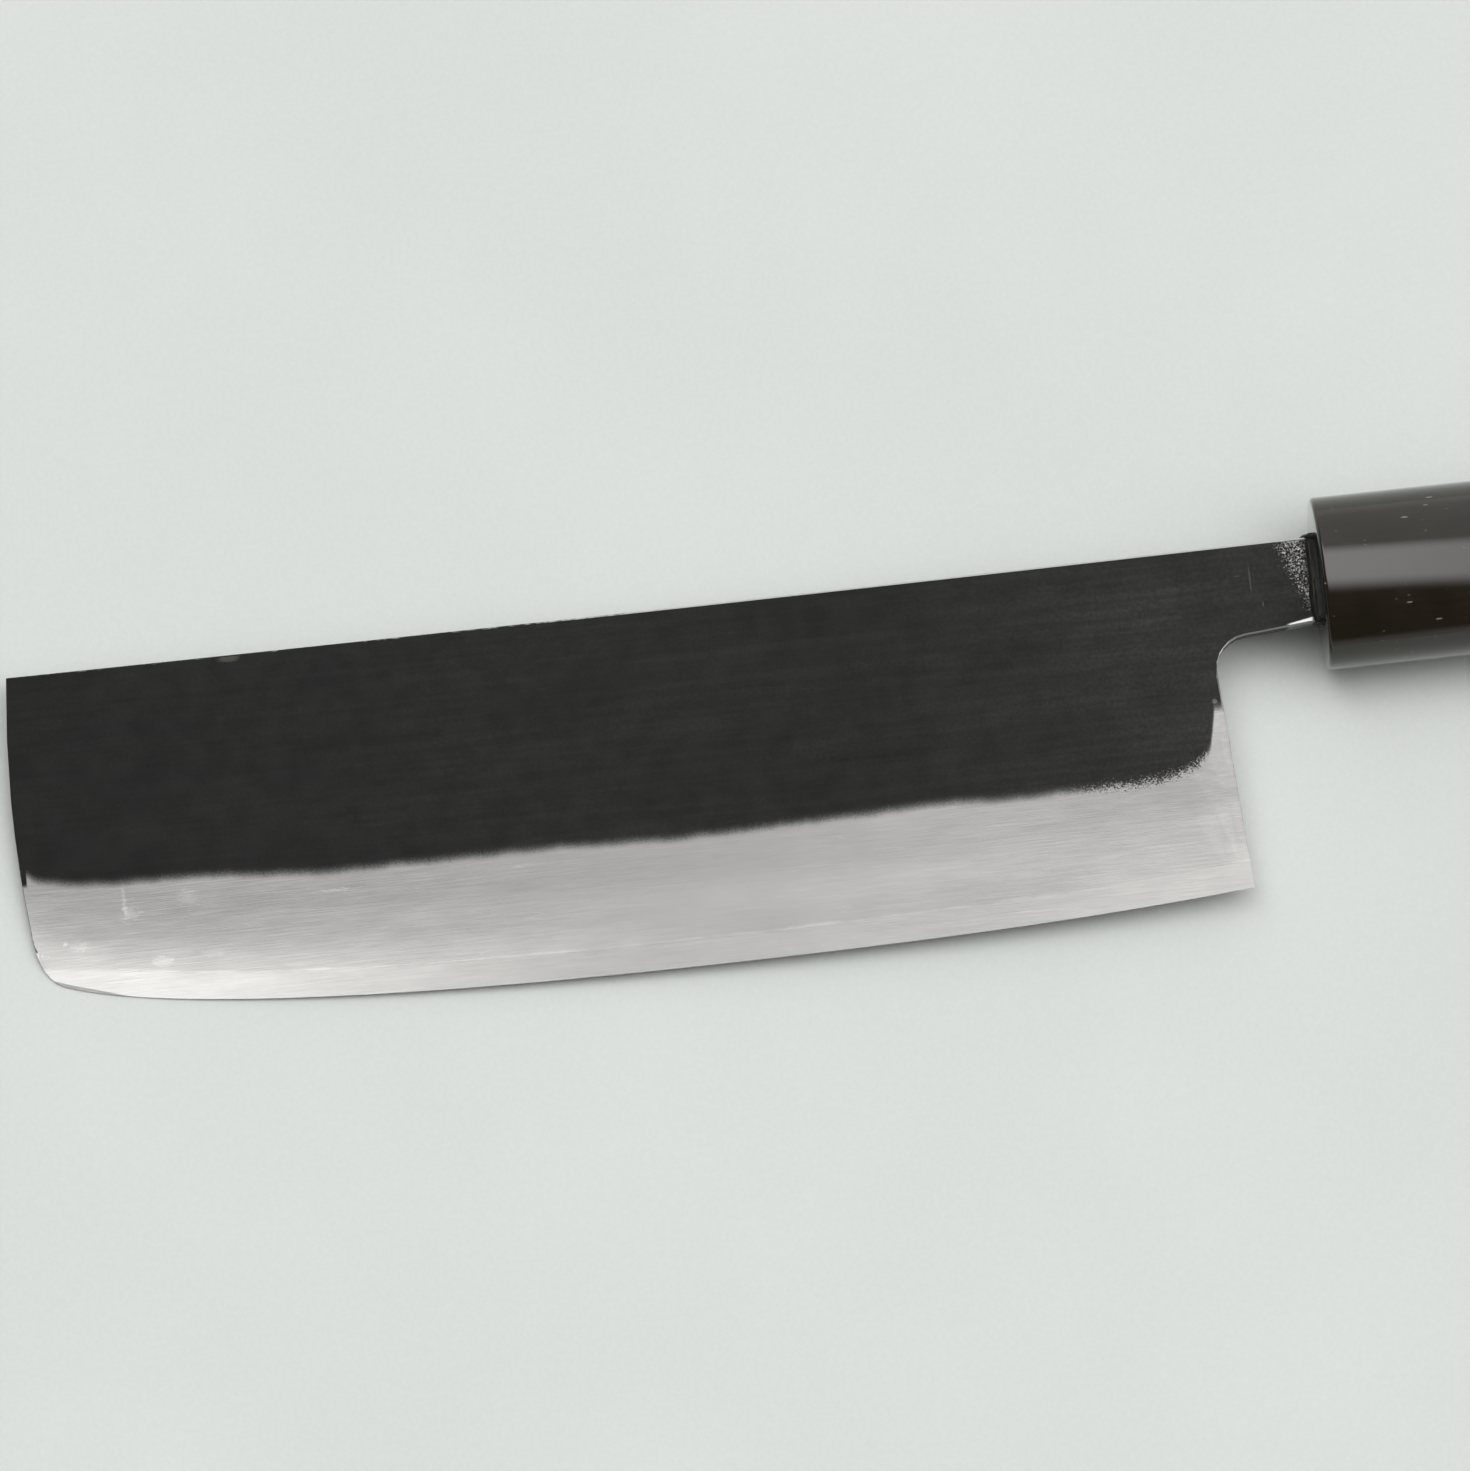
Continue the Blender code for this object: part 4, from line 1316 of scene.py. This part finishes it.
# %% Lay them down
lay_down(cheeks[0], "cheek_upper")
lay_down(cheeks[1], "cheek_lower")
lay_down(core, "core_steel", sharp=3.0)
lay_down(collar, "collar")
lay_down(grip, "handle_grip")
lay_down(resin, "mouth_resin")

# %% [markdown]
# ## The table
#
# The knife lies on a pale, slightly green table. A plane is enough for it, with faint clouds in its
# paint. It isn't part of the knife, so it isn't attached to the knife's body.

# %% Build the table
FLOOR_SIZE = 12.0
bpy.ops.object.select_all(action="DESELECT")
bpy.ops.mesh.primitive_plane_add(size=FLOOR_SIZE)
table = bpy.context.object
table.name = "table"


def build_paint():
    made, recipe, shader, place = new_finish("pale_table")
    clouds = recipe.use(CLOUDS, Place=place, Size=60.0)
    grain = recipe.noise(place, 1.6, 3.0, 0.6)
    colour = recipe.blend(clouds, (0.650, 0.680, 0.655), (0.675, 0.700, 0.672))
    colour = recipe.tint(colour, recipe.slope(grain, 0.3, 0.7, 0.985, 1.015))
    recipe.feed(shader.inputs["Base Color"], colour)
    shader.inputs["Roughness"].default_value = 0.7
    shader.inputs["Specular IOR Level"].default_value = 0.2
    set_bump(recipe, shader, grain, 0.01 * MM)
    return made


coat_with(table, build_paint())
print("table is", FLOOR_SIZE, "m wide")

# %% [markdown]
# ## The light
#
# There are no lamps. The room's brightness is worked out from the direction instead, because blade
# and collar mirror the whole of it. A wide window overhead leans towards the spine's side and
# slants down to the right. It gives the shadow along the edge its width, the blade its sheen and
# the collar its bright band. A paler wall stands behind the spine. The camera's side is dim, which
# keeps the forge skin and the collar's lower flank dark, and the horizon is pale all round.

# %% Light the room
world = bpy.data.worlds.new("room")
bpy.context.scene.world = world
world.use_nodes = True
room = Recipe(world.node_tree)
right, back, up = room.split(room.add("TexCoord").outputs["Generated"])
# The window: its brightness falls to the right, and it has a left, a front and a rear border.
from_border = room.plus(back, room.times(right, 0.40))
from_top = room.plus(back, room.times(right, 0.29))
window = room.slope(right, -0.10, 1.0, 3.58, 1.8)
window = room.times(window, room.slope(right, -0.60, -0.35))
window = room.times(window, room.slope(from_border, -0.34, -0.03))
window = room.times(window, room.slope(from_top, 0.36, 0.62, 1.0, 0.0))
# The wall behind the spine fades to both sides.
wall = room.slope(room.math("ABSOLUTE", right), 0.35, 0.7, 1.0, 0.0)
wall = room.times(wall, room.slope(back, 0.1, 0.4, 0.0, 0.85))
level = room.plus(room.math("MAXIMUM", window, wall), 0.02)
# The horizon is paler behind the knife than in front of it.
horizon = room.slope(back, -0.2, 0.7, 0.5, 1.0)
level = room.mixed(room.slope(up, 0.06, 0.24, 1.0, 0.0), level, horizon)
background = world.node_tree.nodes["Background"]
room.feed(background.inputs["Color"], room.grey(level))
background.inputs["Strength"].default_value = 1.0
bpy.context.scene.view_settings.view_transform = "Standard"
print("room:", len(world.node_tree.nodes), "nodes")
